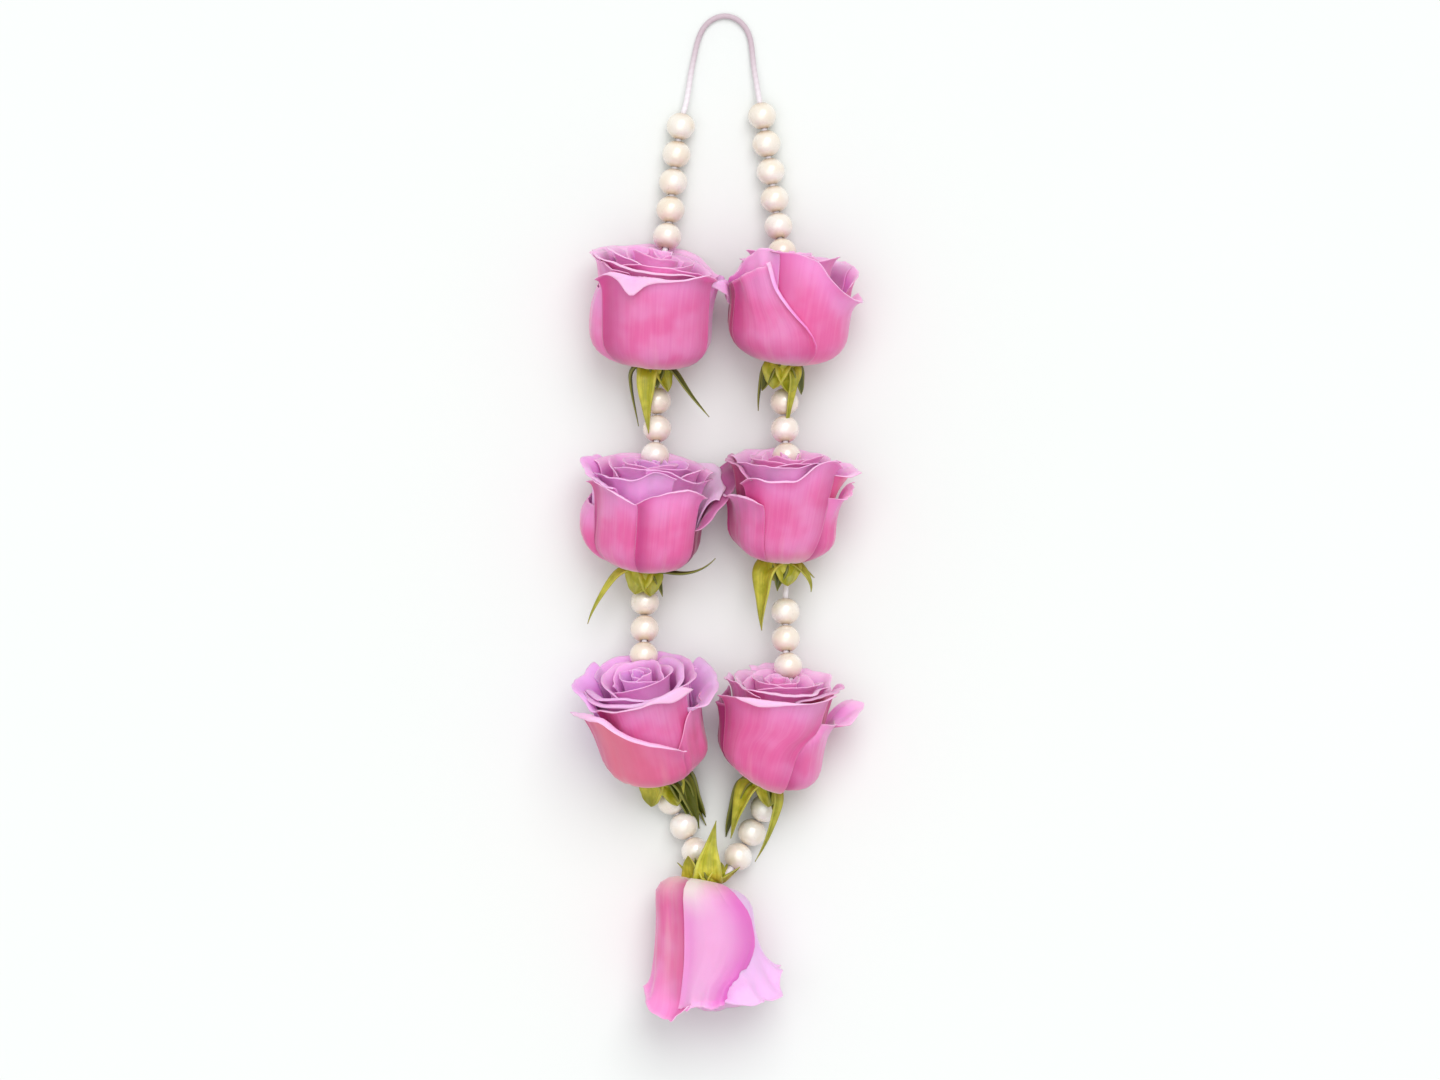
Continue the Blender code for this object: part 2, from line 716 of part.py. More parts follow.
def calyx(rose, frame, material, way):
    """The green hip below a rose, with its sepals."""
    bm = bmesh.new()
    length = HIP_LENGTH * rose.hip
    turned(bm, [(radius * HIP_RADIUS, height * length) for radius, height in HIP_SECTION], HIP_SIDES)
    bm.transform(frame)
    body = new_object(f"calyx_{rose.name}", bm, material)
    blades = []
    for sepal in rose.sepals:
        bm = bmesh.new()
        grid = lifted(*[[frame @ point for point in line] for line in sepal_grid(sepal)])
        sheet_solid(bm, grid, SEPAL)
        blades.append(new_object("Sepal", bm))
    apply_boolean(body, "UNION", blades)
    apply_boolean(body, "DIFFERENCE", [way()])
    keep_main_body(body)


def cord(points, material):
    """The whole cord, a round curve with capped ends."""
    curve = bpy.data.curves.new("cord", "CURVE")
    curve.dimensions = "3D"
    curve.bevel_depth = CORD / 2
    curve.bevel_resolution = 2
    curve.use_fill_caps = True
    spline = curve.splines.new("POLY")
    spline.points.add(len(points) - 1)
    for knot, point in zip(spline.points, points):
        knot.co = (*point, 1.0)
    curve.materials.append(material)
    thing = bpy.data.objects.new("cord", curve)
    bpy.context.scene.collection.objects.link(thing)


def principled(name, colour, roughness):
    material = bpy.data.materials.new(name)
    material.use_nodes = True
    shader = material.node_tree.nodes["Principled BSDF"]
    shader.inputs["Base Color"].default_value = (*colour, 1.0)
    shader.inputs["Roughness"].default_value = roughness
    shader.inputs["Metallic"].default_value = 0.0
    return material


def build():
    for thing in list(bpy.data.objects):
        bpy.data.objects.remove(thing)
    petal_pink = principled("Rose petals", (0.70, 0.16, 0.42), 0.55)
    sepal_green = principled("Rose greens", (0.36, 0.38, 0.05), 0.6)
    pearl_cream = principled("Pearl beads", (0.88, 0.80, 0.70), 0.25)
    cord_mauve = principled("Mauve cord", (0.74, 0.66, 0.74), 0.6)
    points = cord_points()
    spots = pearl_spots(points)
    pearls = [place for _, place, _ in spots]
    for rose in ROSES:
        frame = bloom(rose, petal_pink, lambda: cord_way(points), pearls)
        calyx(rose, frame, sepal_green, lambda: cord_way(points))
    for name, place, ahead in spots:
        pearl(name, place, ahead, pearl_cream)
    cord(points, cord_mauve)
    centre_on_surface()


def centre_on_surface():
    """Put the origin under the middle of everything but the cord."""
    bpy.context.view_layer.update()
    corners = []
    for thing in bpy.data.objects:
        if thing.type == "MESH":
            corners += [thing.matrix_world @ corner.co for corner in thing.data.vertices]
    middle = [(min(c[axis] for c in corners) + max(c[axis] for c in corners)) / 2 for axis in range(2)]
    for thing in bpy.data.objects:
        thing.location -= Vector((*middle, 0.0))


build()
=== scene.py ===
"""Rose garland necklace: fine petals, sepals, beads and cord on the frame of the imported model.

The necklace lies in the XY plane. +X is its right side, +Y runs from the single rose at its lower end
to the bare loop of cord at its top, and the surface that it lies on is the plane z = 0. A rose is
modelled upright about its own axis and then laid down. In a rose's own frame +Z runs from the hip to
the mouth, -Y is the side that faces up when it lies, and +X is its right side.
"""

import math
import random
from dataclasses import dataclass, field, replace

import bpy
import numpy as np
from mathutils import Matrix, Vector


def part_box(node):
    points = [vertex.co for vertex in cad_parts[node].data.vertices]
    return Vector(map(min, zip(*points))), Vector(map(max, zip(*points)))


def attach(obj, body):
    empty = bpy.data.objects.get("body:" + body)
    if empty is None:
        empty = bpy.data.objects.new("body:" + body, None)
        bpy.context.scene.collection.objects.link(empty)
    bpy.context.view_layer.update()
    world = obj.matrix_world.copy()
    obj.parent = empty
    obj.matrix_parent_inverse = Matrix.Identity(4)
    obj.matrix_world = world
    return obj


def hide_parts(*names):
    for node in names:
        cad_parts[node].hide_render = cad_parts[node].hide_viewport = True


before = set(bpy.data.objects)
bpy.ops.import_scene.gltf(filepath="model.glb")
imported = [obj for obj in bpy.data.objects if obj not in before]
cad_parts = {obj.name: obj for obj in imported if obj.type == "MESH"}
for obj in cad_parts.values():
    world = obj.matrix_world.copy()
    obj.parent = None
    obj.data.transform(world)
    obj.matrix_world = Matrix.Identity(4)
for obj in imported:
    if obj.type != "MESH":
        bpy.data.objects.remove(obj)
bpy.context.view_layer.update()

MM = 0.001
ORIGIN = Vector((1.939, 168.774, 0.0)) * MM  # where the model's origin lies in the route's plan

PEARL = 0.0100  # diameter of a bead
PITCH = 0.0103  # from one bead to the next along the cord
BEAD_BORE = 0.0034
CORD = 0.0020  # diameter of the cord
CORD_STEP = 0.009  # length of the straight runs that the beads are stepped along, as in the part
CURVE_STEPS = 40  # between two points of the route
ROSE_RADIUS = 0.0226  # of a rose of size 1 at its belly
PETAL_FOOT = 0.0016  # how far from the axis a petal sets off
LIP = 0.0075  # length of the upper part of a petal that leans out
CURL = 0.0026  # length of the very rim that turns out
LAYER = 0.0007  # between a petal and the next one inside it
FLATTEN = 0.14  # share of its radius that a rose loses on the side that it lies on
FOOT_REACH = 0.79  # how far out the rounded foot of a petal carries, as a share of its length
FOOT_POWER = 1.8  # how late that foot turns upright
GOLDEN = 137.5  # degrees from one inner petal to the next
FULL_TURN = 6.2832  # radians, as the random waves and the cord's colour count it


@dataclass
class Petal:
    """One petal. Turns are in degrees round the rose's axis from the side that faces up."""

    facing: float
    spread: float  # half of its width
    rim: tuple = ()  # (turn, height in millimetres) along its upper rim
    flaps: tuple = ()  # (turn, length in millimetres) of the part of the rim that is folded right over
    left_edge: tuple = ()  # (height in millimetres, turn) up a side edge
    right_edge: tuple = ()
    lip: float = 30.0  # degrees that its upper part leans out
    curl: float = 30.0  # degrees that the very rim turns out beyond that
    flare: float = 4.0  # degrees that it leans out above its foot
    left_curl: float = 20.0  # degrees that a side edge turns out
    right_curl: float = 20.0
    tint: float = 0.0  # -2 deep magenta, painted shade for petals in shadow; -1 coral, 0 pink, 1 lilac, 2 palest
    ruffle: float = 0.5  # how wavy it is toward its rim
    lift: float = 0.0  # how far out it stands beyond its place in the whorl, in millimetres
    depth: float = 0.0  # how far inside the rose's full radius it stands
    columns: int = 44


@dataclass
class Sepal:
    """One sepal. Facing is round the axis, bend is how far it turns back toward the stem."""

    facing: float
    length: float
    width: float
    bend: float = 120.0
    sway: float = 0.0  # how far its tip is carried sideways, in millimetres
    shade: float = 0.3  # 0 yellow-green, 1 dark olive
    hook: float = 0.0  # degrees that it bends on toward its tip
    blunt: float = 2.6  # how late it narrows to its tip
    taper: float = 0.3  # how much it narrows on the way


@dataclass
class Rose:
    """One rose: where its petals' foot lies, in millimetres, and how it lies, in degrees."""

    name: str
    foot: tuple
    lean: float
    tilt: float
    size: float
    seed: int
    outer: list
    sepals: list = field(default_factory=list)
    hip: float = 1.0
    inner: int = 11
    body: float = 1.0  # radius of its belly, as a share
    open: float = 3.0  # degrees that all its outer petals lean out
    mouth: tuple = (37.0, 1.0, 0.0)  # height of the inner petals, and how much more at the front and right
    dome: float = 0.6  # how much higher its very middle is
    lilac: float = 0.5  # the tint of its inner petals
    sag: tuple = (0.0, 0.0)  # degrees that the petals set off backward, and how much more at the right


BACK_SEPAL = Sepal(180, 10, 3.4, 160)

# Petals tinted below -1 are painted deep magenta as shade where they lie in shadow.
ROSES = [
    Rose(
        "left_top", (-23.6, 241.5, 14.9), -2.0, 15.0, 1.0, 11, body=0.97, open=2.0, inner=7,
        mouth=(38.0, 1.5, -4.6), dome=2.8, sag=(9.0, 2.0),
        outer=[
            Petal(2, 58, rim=((-56, 33), (-46, 35.7), (-15, 36.6), (22, 36.2), (45, 36.2), (60, 33)),
                  flaps=((-56, 0.6), (-42, 1.4), (-29, 3.4), (-17, 7.6), (-8, 4.2), (8, 1.8), (30, 1.0),
                         (45, 0.8), (60, 0))),
            Petal(-86, 44, rim=((-130, 27), (-100, 26.5), (-80, 27), (-60, 29), (-42, 31)), lift=2.0,
                  lip=-6, curl=0, tint=0.25, flare=-15),
            Petal(82, 38, rim=((44, 34), (56, 33.4), (70, 32), (88, 31), (104, 30), (120, 29)),
                  flaps=((44, 0.5), (58, 3), (74, 8), (90, 9.5), (106, 6), (120, 2)), lip=12, flare=15,
                  tint=1.1, ruffle=0.9),
            Petal(180, 78, rim=((102, 31), (140, 35.5), (180, 37.6), (225, 38.4), (258, 39)), tint=0.3),
            Petal(-72, 48, rim=((-120, 38), (-90, 39.6), (-65, 38.5), (-45, 38), (-24, 37)), tint=0.2),
            Petal(-8, 70, rim=((-78, 40), (-45, 39.5), (-10, 38.6), (30, 36.4), (62, 32)), tint=0.15,
                  flaps=((-78, 0.6), (0, 1.4), (62, 0.5))),
            Petal(30, 66, rim=((-36, 39), (0, 40), (30, 38), (60, 34), (96, 30)), tint=0.25),
        ],
        sepals=[
            Sepal(-86, 27, 3.2, 184, shade=0.9, hook=12.0), Sepal(-14, 27, 6.6, 174, 1.6, 0.1, taper=0.5),
            Sepal(40, 11, 7.0, 158, shade=0.15, blunt=5.0), Sepal(60, 27, 3.0, 140, 3.0, 0.9),
            Sepal(16, 10, 5.0, 150, shade=0.95), BACK_SEPAL,
        ],
    ),
    Rose(
        "right_top", (24.0, 241.5, 15.1), -7.0, 14.0, 1.0, 12, body=1.03, open=2.0, inner=7,
        mouth=(39.5, 4.5, 0.0),
        outer=[
            Petal(-14, 48, rim=((-62, 29), (-50, 32.6), (-38, 36), (-28, 38.4), (-20, 41), (-16, 40.4)),
                  left_curl=0, curl=14, lip=22,
                  right_edge=((0, 30), (8, 30), (17, 23), (24, 6), (31, -8), (37, -14), (42, -17)),
                  right_curl=165),
            Petal(-78, 44, rim=((-120, 24), (-90, 25.5), (-66, 29), (-45, 33), (-34, 34)), lip=4, curl=0,
                  tint=-1.4, lift=0.4),
            Petal(-46, 32, rim=((-78, 28), (-62, 32), (-50, 38.5), (-42, 42), (-28, 45), (-14, 44)),
                  tint=0.9, lip=16, curl=20),
            Petal(42, 70, rim=((-28, 44), (7, 45.4), (18, 42.8), (27, 37.7), (38, 33.5), (58, 28.4),
                               (90, 25.4), (112, 26)),
                  flaps=((-28, 0), (18, 0.8), (58, 1.2), (90, 0.8), (112, 0)), tint=0.1, flare=14,
                  curl=10, lift=1.4),
            Petal(108, 44, rim=((64, 32), (86, 35.4), (108, 36.4), (136, 35.4), (152, 34)), tint=0.3,
                  curl=16, lip=14),
            Petal(200, 66, rim=((134, 35), (170, 35.5), (215, 36), (240, 32), (266, 26)), tint=0.4),
        ],
        sepals=[
            Sepal(-92, 21, 4.6, 180, shade=0.85), Sepal(-24, 10, 9.0, 158, shade=0.1, blunt=6.0),
            Sepal(20, 11, 8.6, 158, shade=0.15, blunt=6.0), Sepal(32, 28, 3.0, 183, shade=0.45),
            Sepal(64, 12, 6.5, 160, shade=0.95, blunt=5.0), Sepal(-50, 12, 6.0, 158, shade=0.95, blunt=5.0),
            BACK_SEPAL,
        ],
    ),
    Rose(
        "left_middle", (-26.8, 167.0, 14.0), -5.0, 19.0, 1.0, 13, body=0.96, open=4.0, inner=9,
        mouth=(39.2, 3.6, 0.0), lilac=1.1,
        outer=[
            Petal(21, 31, rim=((-10, 31.4), (4, 35.2), (18, 36.3), (38, 36.6), (52, 33)), left_curl=10,
                  flaps=((-10, 0), (4, 0.5), (38, 1.0), (52, 0.6)), ruffle=0.4),
            Petal(-36, 34, rim=((-70, 33), (-60, 34.8), (-41, 34.6), (-19, 32.2), (-2, 29)), ruffle=0.3,
                  flaps=((-70, 0.4), (-41, 0.8), (-10, 0.6), (-2, 0))),
            Petal(-93, 40, rim=((-133, 26), (-116, 24.5), (-97, 23), (-80, 23), (-53, 24)), lip=-8,
                  curl=-4, flare=-26, right_curl=0, left_curl=0, lift=4.6, ruffle=0.2),
            Petal(84, 36, rim=((48, 18), (58, 22), (70, 26), (84, 30), (102, 36), (120, 37)), flare=44,
                  lip=14, curl=14, left_curl=30, tint=-1.6),
            Petal(-78, 46, rim=((-124, 36), (-100, 37), (-80, 36.5), (-55, 35.6), (-32, 35)), tint=1.2,
                  lip=54, lift=1.6),
            Petal(112, 36, rim=((76, 29), (95, 32), (112, 34.4), (130, 35), (148, 34)), flare=30, lip=30,
                  tint=2.2),
            Petal(180, 76, rim=((104, 36), (150, 36.5), (210, 36.5), (256, 36)), tint=0.5),
            Petal(-30, 56, rim=((-86, 34), (-60, 36.6), (-38, 37.8), (-13, 39.6), (6, 43), (26, 40)),
                  tint=1.25, flaps=((-86, 0), (-38, 1.0), (0, 0.7), (26, 0)), ruffle=0.3),
            Petal(42, 48, rim=((-6, 43), (13, 43.6), (32, 40.2), (47, 37.5), (66, 36), (90, 35)),
                  tint=1.2, flaps=((-6, 0), (25, 1.0), (55, 1.0), (90, 0)), ruffle=0.3),
        ],
        sepals=[
            Sepal(-74, 29, 4.6, 138, shade=0.15, hook=40.0),
            Sepal(-16, 9.5, 9.0, 160, shade=0.1, blunt=6.0), Sepal(26, 10, 8.4, 156, shade=0.3, blunt=6.0),
            Sepal(54, 11, 4.0, 150, shade=0.95), Sepal(66, 28, 2.8, 90, shade=0.9, hook=-62.0), BACK_SEPAL,
        ],
    ),
    Rose(
        "right_middle", (23.4, 169.7, 14.4), -3.0, 17.0, 1.0, 14, body=0.86, open=7.0, inner=8,
        mouth=(38.2, 3.6, 1.0),
        outer=[
            Petal(-58, 36, rim=((-94, 22.9), (-80, 23.8), (-69, 24.4), (-60, 26.2), (-46, 27.5),
                                (-34, 27.6), (-22, 25.4)),
                  flaps=((-94, 0.4), (-50, 1.2), (-30, 0.8), (-22, 0)), tint=0.15, left_curl=40,
                  right_curl=0, ruffle=0.3),
            Petal(6, 52, rim=((-46, 32), (-38, 34.4), (-28, 35.7), (-17, 35.4), (-1, 35.6), (9, 36.1),
                              (17, 38.4), (26, 41.6), (35, 43.1), (46, 42.2), (57, 38.7)), ruffle=0.3,
                  right_edge=((0, 34), (8, 40), (14, 48), (25, 54), (34, 57), (44, 57)), right_curl=5,
                  flaps=((-46, 0), (-28, 0.7), (0, 1.2), (12, 0.8), (26, 0.4), (57, 0.4))),
            Petal(72, 34, rim=((38, 23.4), (50, 26.4), (62, 27.4), (76, 27.0), (90, 27.4), (106, 28)),
                  flare=22, lip=24, curl=24, right_curl=40, lift=0.8),
            Petal(-78, 44, rim=((-122, 34.4), (-95, 35.9), (-66, 37.2), (-48, 37.3), (-38, 34.4)), lip=30,
                  curl=40, flare=6, tint=-1.5),
            Petal(88, 40, rim=((48, 35.4), (62, 35.4), (76, 34.9), (92, 34.4), (110, 33.4), (128, 32.4)),
                  lip=40, curl=30, flare=24, tint=-0.5),
            Petal(192, 62, rim=((130, 33.4), (170, 34.8), (220, 35.4), (254, 35.4)), tint=0.4),
            Petal(-16, 56, rim=((-72, 36.4), (-49, 38.9), (-28, 39.6), (-9, 39.7), (10, 40.4), (20, 41.4),
                                (40, 40.9)), tint=1.15),
        ],
        sepals=[
            Sepal(-50, 27, 10.0, 173, 5.0, 0.1, taper=0.5), Sepal(22, 9, 9.0, 155, shade=0.15, blunt=6.0),
            Sepal(-6, 11, 5.0, 165, shade=0.95), Sepal(62, 15, 4.4, 112, -1.0, 0.5, hook=80.0),
            Sepal(92, 11, 3.4, 130, shade=0.4), BACK_SEPAL,
        ],
    ),
    Rose(
        "left_low", (-20.8, 92.0, 10.4), 13.0, 31.0, 1.02, 15, hip=0.74, body=0.86, open=8.0, inner=8,
        mouth=(41.6, 2.5, -1.0), dome=2.0, lilac=1.15,
        outer=[
            Petal(-32, 60, rim=((-92, 32.6), (-70, 37), (-50, 39.8), (-38, 39.6), (-29, 35.6),
                                (-20, 32.4), (-9, 29.2), (8, 24.8), (26, 18.6)), flare=12, tint=-0.8,
                  ruffle=0.3,
                  flaps=((-92, 0.4), (-70, 1.2), (-50, 1.8), (-34, 0.9), (-20, 1.1), (0, 1.3), (14, 0.9),
                         (28, 0))),
            Petal(54, 36, rim=((18, 15), (27, 20), (40, 29), (56, 31), (74, 30), (90, 29)), ruffle=0.3,
                  lip=5, curl=0, tint=-0.2),
            Petal(-4, 53, rim=((-57, 39), (-47, 40.4), (-23, 41.6), (-7, 42.6), (10, 43.8), (27, 44.4),
                               (40, 43.6), (49, 41)), flare=-1,
                  flaps=((-57, 0.5), (-10, 1.0), (10, 1.8), (28, 4.4), (40, 3.6), (49, 1)), tint=0.15,
                  ruffle=0.3),
            Petal(84, 42, rim=((42, 31), (56, 33), (72, 33), (90, 32.6), (108, 33), (126, 34)), flare=30,
                  lip=30, curl=30, tint=2.0),
            Petal(-96, 46,
                  rim=((-142, 40), (-110, 41.5), (-90, 43), (-73, 42.6), (-60, 40.7), (-50, 39.3)),
                  flare=6, lip=34, tint=1.5),
            Petal(170, 66,
                  rim=((104, 35.5), (130, 36.5), (152, 37.1), (180, 37.5), (212, 38.4), (236, 39)),
                  flare=6, tint=1.3),
            Petal(-26, 66, rim=((-92, 40), (-60, 42), (-41, 42.8), (-3, 43.4), (22, 43.2), (40, 41)),
                  flaps=((-92, 0), (-40, 1.2), (10, 1.2), (40, 0)), tint=1.1, ruffle=0.3),
            Petal(64, 62, rim=((2, 43), (30, 43), (60, 41), (90, 38.5), (126, 38)), tint=1.1, flare=6),
        ],
        sepals=[
            Sepal(-46, 11.5, 10.0, 158, shade=0.1, blunt=7.0),
            Sepal(22, 12, 9.0, 156, shade=0.1, blunt=6.0), Sepal(52, 26, 8.0, 170, shade=0.85, blunt=3.4),
            Sepal(82, 29, 6.0, 174, shade=0.95), Sepal(36, 20, 5.0, 168, shade=0.95), BACK_SEPAL,
            Sepal(122, 30, 9.0, 172, -1.0, 0.95, blunt=4.0),
        ],
    ),
    Rose(
        "right_low", (18.4, 90.0, 13.9), -6.0, 19.0, 1.0, 26, hip=0.7, body=0.84, open=5.0, inner=7,
        mouth=(38.0, 3.2, 0.5), sag=(6.0, 15.0), lilac=0.25,
        outer=[
            Petal(-6, 66, rim=((-72, 31.5), (-57, 33.7), (-35, 36.3), (-18, 37.3), (13, 37.7), (42, 37.8),
                               (60, 38)), ruffle=0.3, right_curl=10,
                  right_edge=((0, 20), (3, 21), (11, 26), (16.6, 30), (20.5, 39), (23, 50), (30, 58),
                              (40, 62)),
                  flaps=((-72, 0.3), (-42, 0.5), (-28, 2.2), (-14, 3.2), (0, 2.4), (16, 1.2), (30, 0.5),
                         (60, 0.4))),
            Petal(64, 48,
                  rim=((16, 14), (26, 19), (36, 24), (47, 26), (58, 26.5), (72, 25), (88, 23), (112, 22)),
                  flaps=((16, 0), (36, 0.6), (50, 0.8), (112, 0.4)), flare=8, lip=16, curl=10, tint=0.1,
                  ruffle=0.4, lift=0.4),
            Petal(97, 28, rim=((69, 20), (79, 24), (90, 27), (99, 28.6), (110, 28.4), (125, 26)),
                  flare=46, lip=14, curl=6, tint=0.3, ruffle=0.8, lift=0.8),
            Petal(62, 44, rim=((18, 37), (40, 38.6), (60, 38.2), (80, 37.6), (106, 36)), lip=40, curl=50,
                  tint=-1.3),
            Petal(-94, 36, rim=((-130, 28), (-110, 27), (-92, 26.5), (-76, 28), (-58, 30)), lip=8,
                  curl=20, tint=-1.75, lift=5.0, flare=2),
            Petal(150, 66, rim=((84, 35), (104, 36.4), (143, 37), (166, 36), (186, 35.4), (216, 36)),
                  tint=0.1, ruffle=1.0, lip=20),
            Petal(-64, 46, rim=((-110, 36), (-90, 36), (-70, 37.5), (-50, 38), (-30, 37.8), (-18, 37))),
            Petal(8, 60, rim=((-52, 38), (-20, 38.6), (0, 39), (25, 39.4), (68, 39)), tint=0.05,
                  flaps=((-52, 0), (0, 1.4), (30, 1.2), (68, 0))),
        ],
        sepals=[
            Sepal(-58, 26, 10.0, 166, -1.5, 0.05, taper=0.6), Sepal(4, 9.5, 8.0, 156, shade=0.2, blunt=6.0),
            Sepal(34, 31, 3.4, 178, -9.0, 0.5), Sepal(24, 11, 5.0, 160, shade=0.95),
            Sepal(-84, 22, 5.0, 166, shade=0.95), Sepal(-104, 14, 4.0, 150, shade=0.95), BACK_SEPAL,
            Sepal(-122, 31, 9.0, 168, 1.0, 0.95, blunt=4.0),
        ],
    ),
    Rose(
        "pendant", (-4.2, 50.0, 14.6), 182.5, 4.0, 0.86, 17, hip=0.7, inner=7, body=0.94, open=0.0,
        mouth=(38.0, 0.0, 0.0), sag=(14.0, 20.0),
        outer=[
            Petal(-2, 40,
                  rim=((-24, 40), (-17, 42.1), (-4, 44.9), (5, 45.5), (12, 43.9), (27, 45.1), (38, 45)),
                  lip=12, curl=10, left_curl=10, ruffle=0.9, tint=0.9,
                  left_edge=((0, -30), (7, -44), (11.3, -57), (17, -64), (21.4, -66), (28.1, -53),
                             (33.4, -38), (37, -25), (42.1, -17)),
                  right_edge=((0, 27), (24, 28), (48, 34))),
            Petal(66, 46, rim=((20, 45), (27, 47), (34, 49.4), (41, 48.6), (50, 45.6), (62, 42),
                               (76, 38.6), (92, 36), (112, 35)), lip=24, flare=13, ruffle=1.6, tint=-0.1,
                  lift=0.8),
            Petal(-60, 48, rim=((-108, 30), (-90, 31), (-76, 33), (-69, 38), (-60, 41.8), (-46, 43.2),
                                (-36, 44.4), (-22, 43.6), (-12, 42.6)), flare=36, lip=22, ruffle=1.4,
                  tint=2.0, lift=0.2),
            Petal(180, 76, rim=((104, 42), (150, 44), (210, 44), (256, 42)), tint=0.6, ruffle=1.2),
            Petal(0, 62, rim=((-62, 40), (0, 42), (62, 40)), tint=0.6),
        ],
        sepals=[
            Sepal(-4, 25, 9.8, 175, -3.4, 0.1, blunt=3.0, taper=0.78),
            Sepal(46, 12, 9.0, 158, shade=0.1, blunt=5.0), Sepal(-40, 9, 7.0, 150, shade=0.25, blunt=5.0),
            Sepal(22, 11, 5.0, 156, shade=0.95), Sepal(-66, 12, 5.0, 120, shade=0.4),
            Sepal(120, 12, 3.4, 140), Sepal(-130, 12, 3.4, 140),
        ],
    ),
]

# The cord's way, in millimetres, as in the part.
ROUTE = [
    (-5.4, 43.0, 14.6), (-5.2, 50.0, 13.6), (-6.2, 57.5, 10.5), (-9.2, 65.0, 7.4), (-13.2, 73.0, 6.2),
    (-17.4, 81.0, 6.4), (-19.8, 87.0, 8.2), (-21.6, 94.0, 12.0), (-24.6, 106.0, 17.6),
    (-26.8, 119.0, 20.0), (-27.0, 133.0, 18.4), (-26.6, 144.0, 14.0), (-26.6, 154.0, 10.8),
    (-26.6, 167.5, 13.6), (-25.2, 182.0, 17.0), (-23.8, 196.0, 18.8), (-22.9, 206.5, 17.0),
    (-22.0, 217.0, 13.8), (-22.2, 227.0, 12.0), (-23.2, 241.0, 14.6), (-22.6, 258.0, 17.2),
    (-21.0, 272.0, 15.6), (-18.6, 285.6, 10.0), (-17.3, 296.4, 7.4), (-16.4, 306.8, 6.0),
    (-15.0, 318.0, 5.3), (-13.4, 328.7, 5.3), (-11.4, 336.5, 4.8), (-9.6, 348.0, 2.4),
    (-6.8, 360.0, 1.2), (-2.8, 365.6, 1.2), (2.9, 367.4, 1.2), (8.2, 365.2, 1.2), (11.6, 359.6, 1.2),
    (13.2, 348.0, 2.4), (15.2, 336.0, 4.9), (16.2, 330.2, 5.3), (17.8, 319.8, 5.3),
    (19.3, 309.6, 5.8), (20.8, 299.6, 6.8), (22.2, 288.8, 9.0), (24.4, 273.0, 15.6),
    (25.8, 258.0, 17.6), (25.2, 241.0, 14.8), (24.2, 228.0, 12.0), (24.2, 217.5, 13.8),
    (24.8, 207.5, 17.0), (25.6, 196.5, 18.8), (26.0, 183.0, 17.4), (25.2, 168.0, 14.2),
    (24.5, 154.0, 11.4), (24.6, 144.0, 13.6), (24.8, 134.5, 16.6), (26.6, 121.0, 19.4),
    (25.4, 105.0, 17.6), (22.2, 90.5, 13.2), (18.4, 81.0, 9.4), (13.8, 72.0, 6.0), (8.4, 62.0, 5.6),
    (3.8, 55.0, 9.0), (-0.4, 50.0, 13.4), (-1.2, 43.0, 14.6),
]

# Where the first bead of each row lies in plan, in millimetres, and the number of beads.
PEARL_ROWS = {
    "left_foot": (-8.2, 62.6, 3),
    "left_low": (-26.6, 134.0, 3),
    "left_mid": (-23.2, 206.8, 3),
    "left_top": (-18.6, 286.5, 5),
    "right_top": (16.0, 330.6, 6),
    "right_mid": (23.8, 226.5, 3),
    "right_low": (24.5, 149.8, 3),
    "right_foot": (16.9, 78.0, 3),
}


def smooth(x):
    """Ease from 0 to 1 as x runs from 0 to 1."""
    x = np.clip(x, 0.0, 1.0)
    return x * x * (3.0 - 2.0 * x)


def through(points, x):
    """A smooth curve through a few (place, value) pairs, read at x."""
    at, values = np.array(points, float).T
    slope = np.gradient(values, at)
    i = np.clip(np.searchsorted(at, x) - 1, 0, len(at) - 2)
    width = at[i + 1] - at[i]
    t = np.clip((x - at[i]) / width, 0.0, 1.0)
    start = (1.0 + 2.0 * t) * (1.0 - t) ** 2 * values[i] + t * (1.0 - t) ** 2 * width * slope[i]
    return start + t**2 * (3.0 - 2.0 * t) * values[i + 1] + t**2 * (t - 1.0) * width * slope[i + 1]


def srgb(red, green, blue):
    """A colour as the screen shows it, from 0 to 255, in the renderer's own linear numbers."""
    shares = np.array((red, green, blue)) / 255.0
    linear = np.where(shares <= 0.04045, shares / 12.92, ((shares + 0.055) / 1.055) ** 2.4)
    return (*(float(share) for share in linear), 1.0)


# Camera and light

PHOTO_WIDTH = 1440
PHOTO_SCALE = 0.0003645  # metres a pixel
VIEW_CENTRE = (-0.00121, 0.00716)
VIEW_HEIGHT = 3.0
VIEW_PLANE = 0.009  # height at which the scale holds
VIEW_REACH = 20.0
SENSOR = 36.0
ROOM_LIGHT = 0.64
LAMP_HEIGHT = 2.0
# Name, turn and width in degrees, and power
SUNS = (("Key", (-30.0, 10.0, 0.0), 40.0, 1.3), ("Fill", (4.0, -6.0, 0.0), 60.0, 0.86))


def set_camera():
    """A camera straight above, at the photograph's scale."""
    camera = bpy.data.cameras.new("Camera")
    camera.sensor_width = SENSOR
    camera.lens = SENSOR * (VIEW_HEIGHT - VIEW_PLANE) / (PHOTO_WIDTH * PHOTO_SCALE)
    camera.clip_end = VIEW_REACH
    seat = bpy.data.objects.new("Camera", camera)
    seat.location = (*VIEW_CENTRE, VIEW_HEIGHT)
    bpy.context.scene.collection.objects.link(seat)
    bpy.context.scene.camera = seat


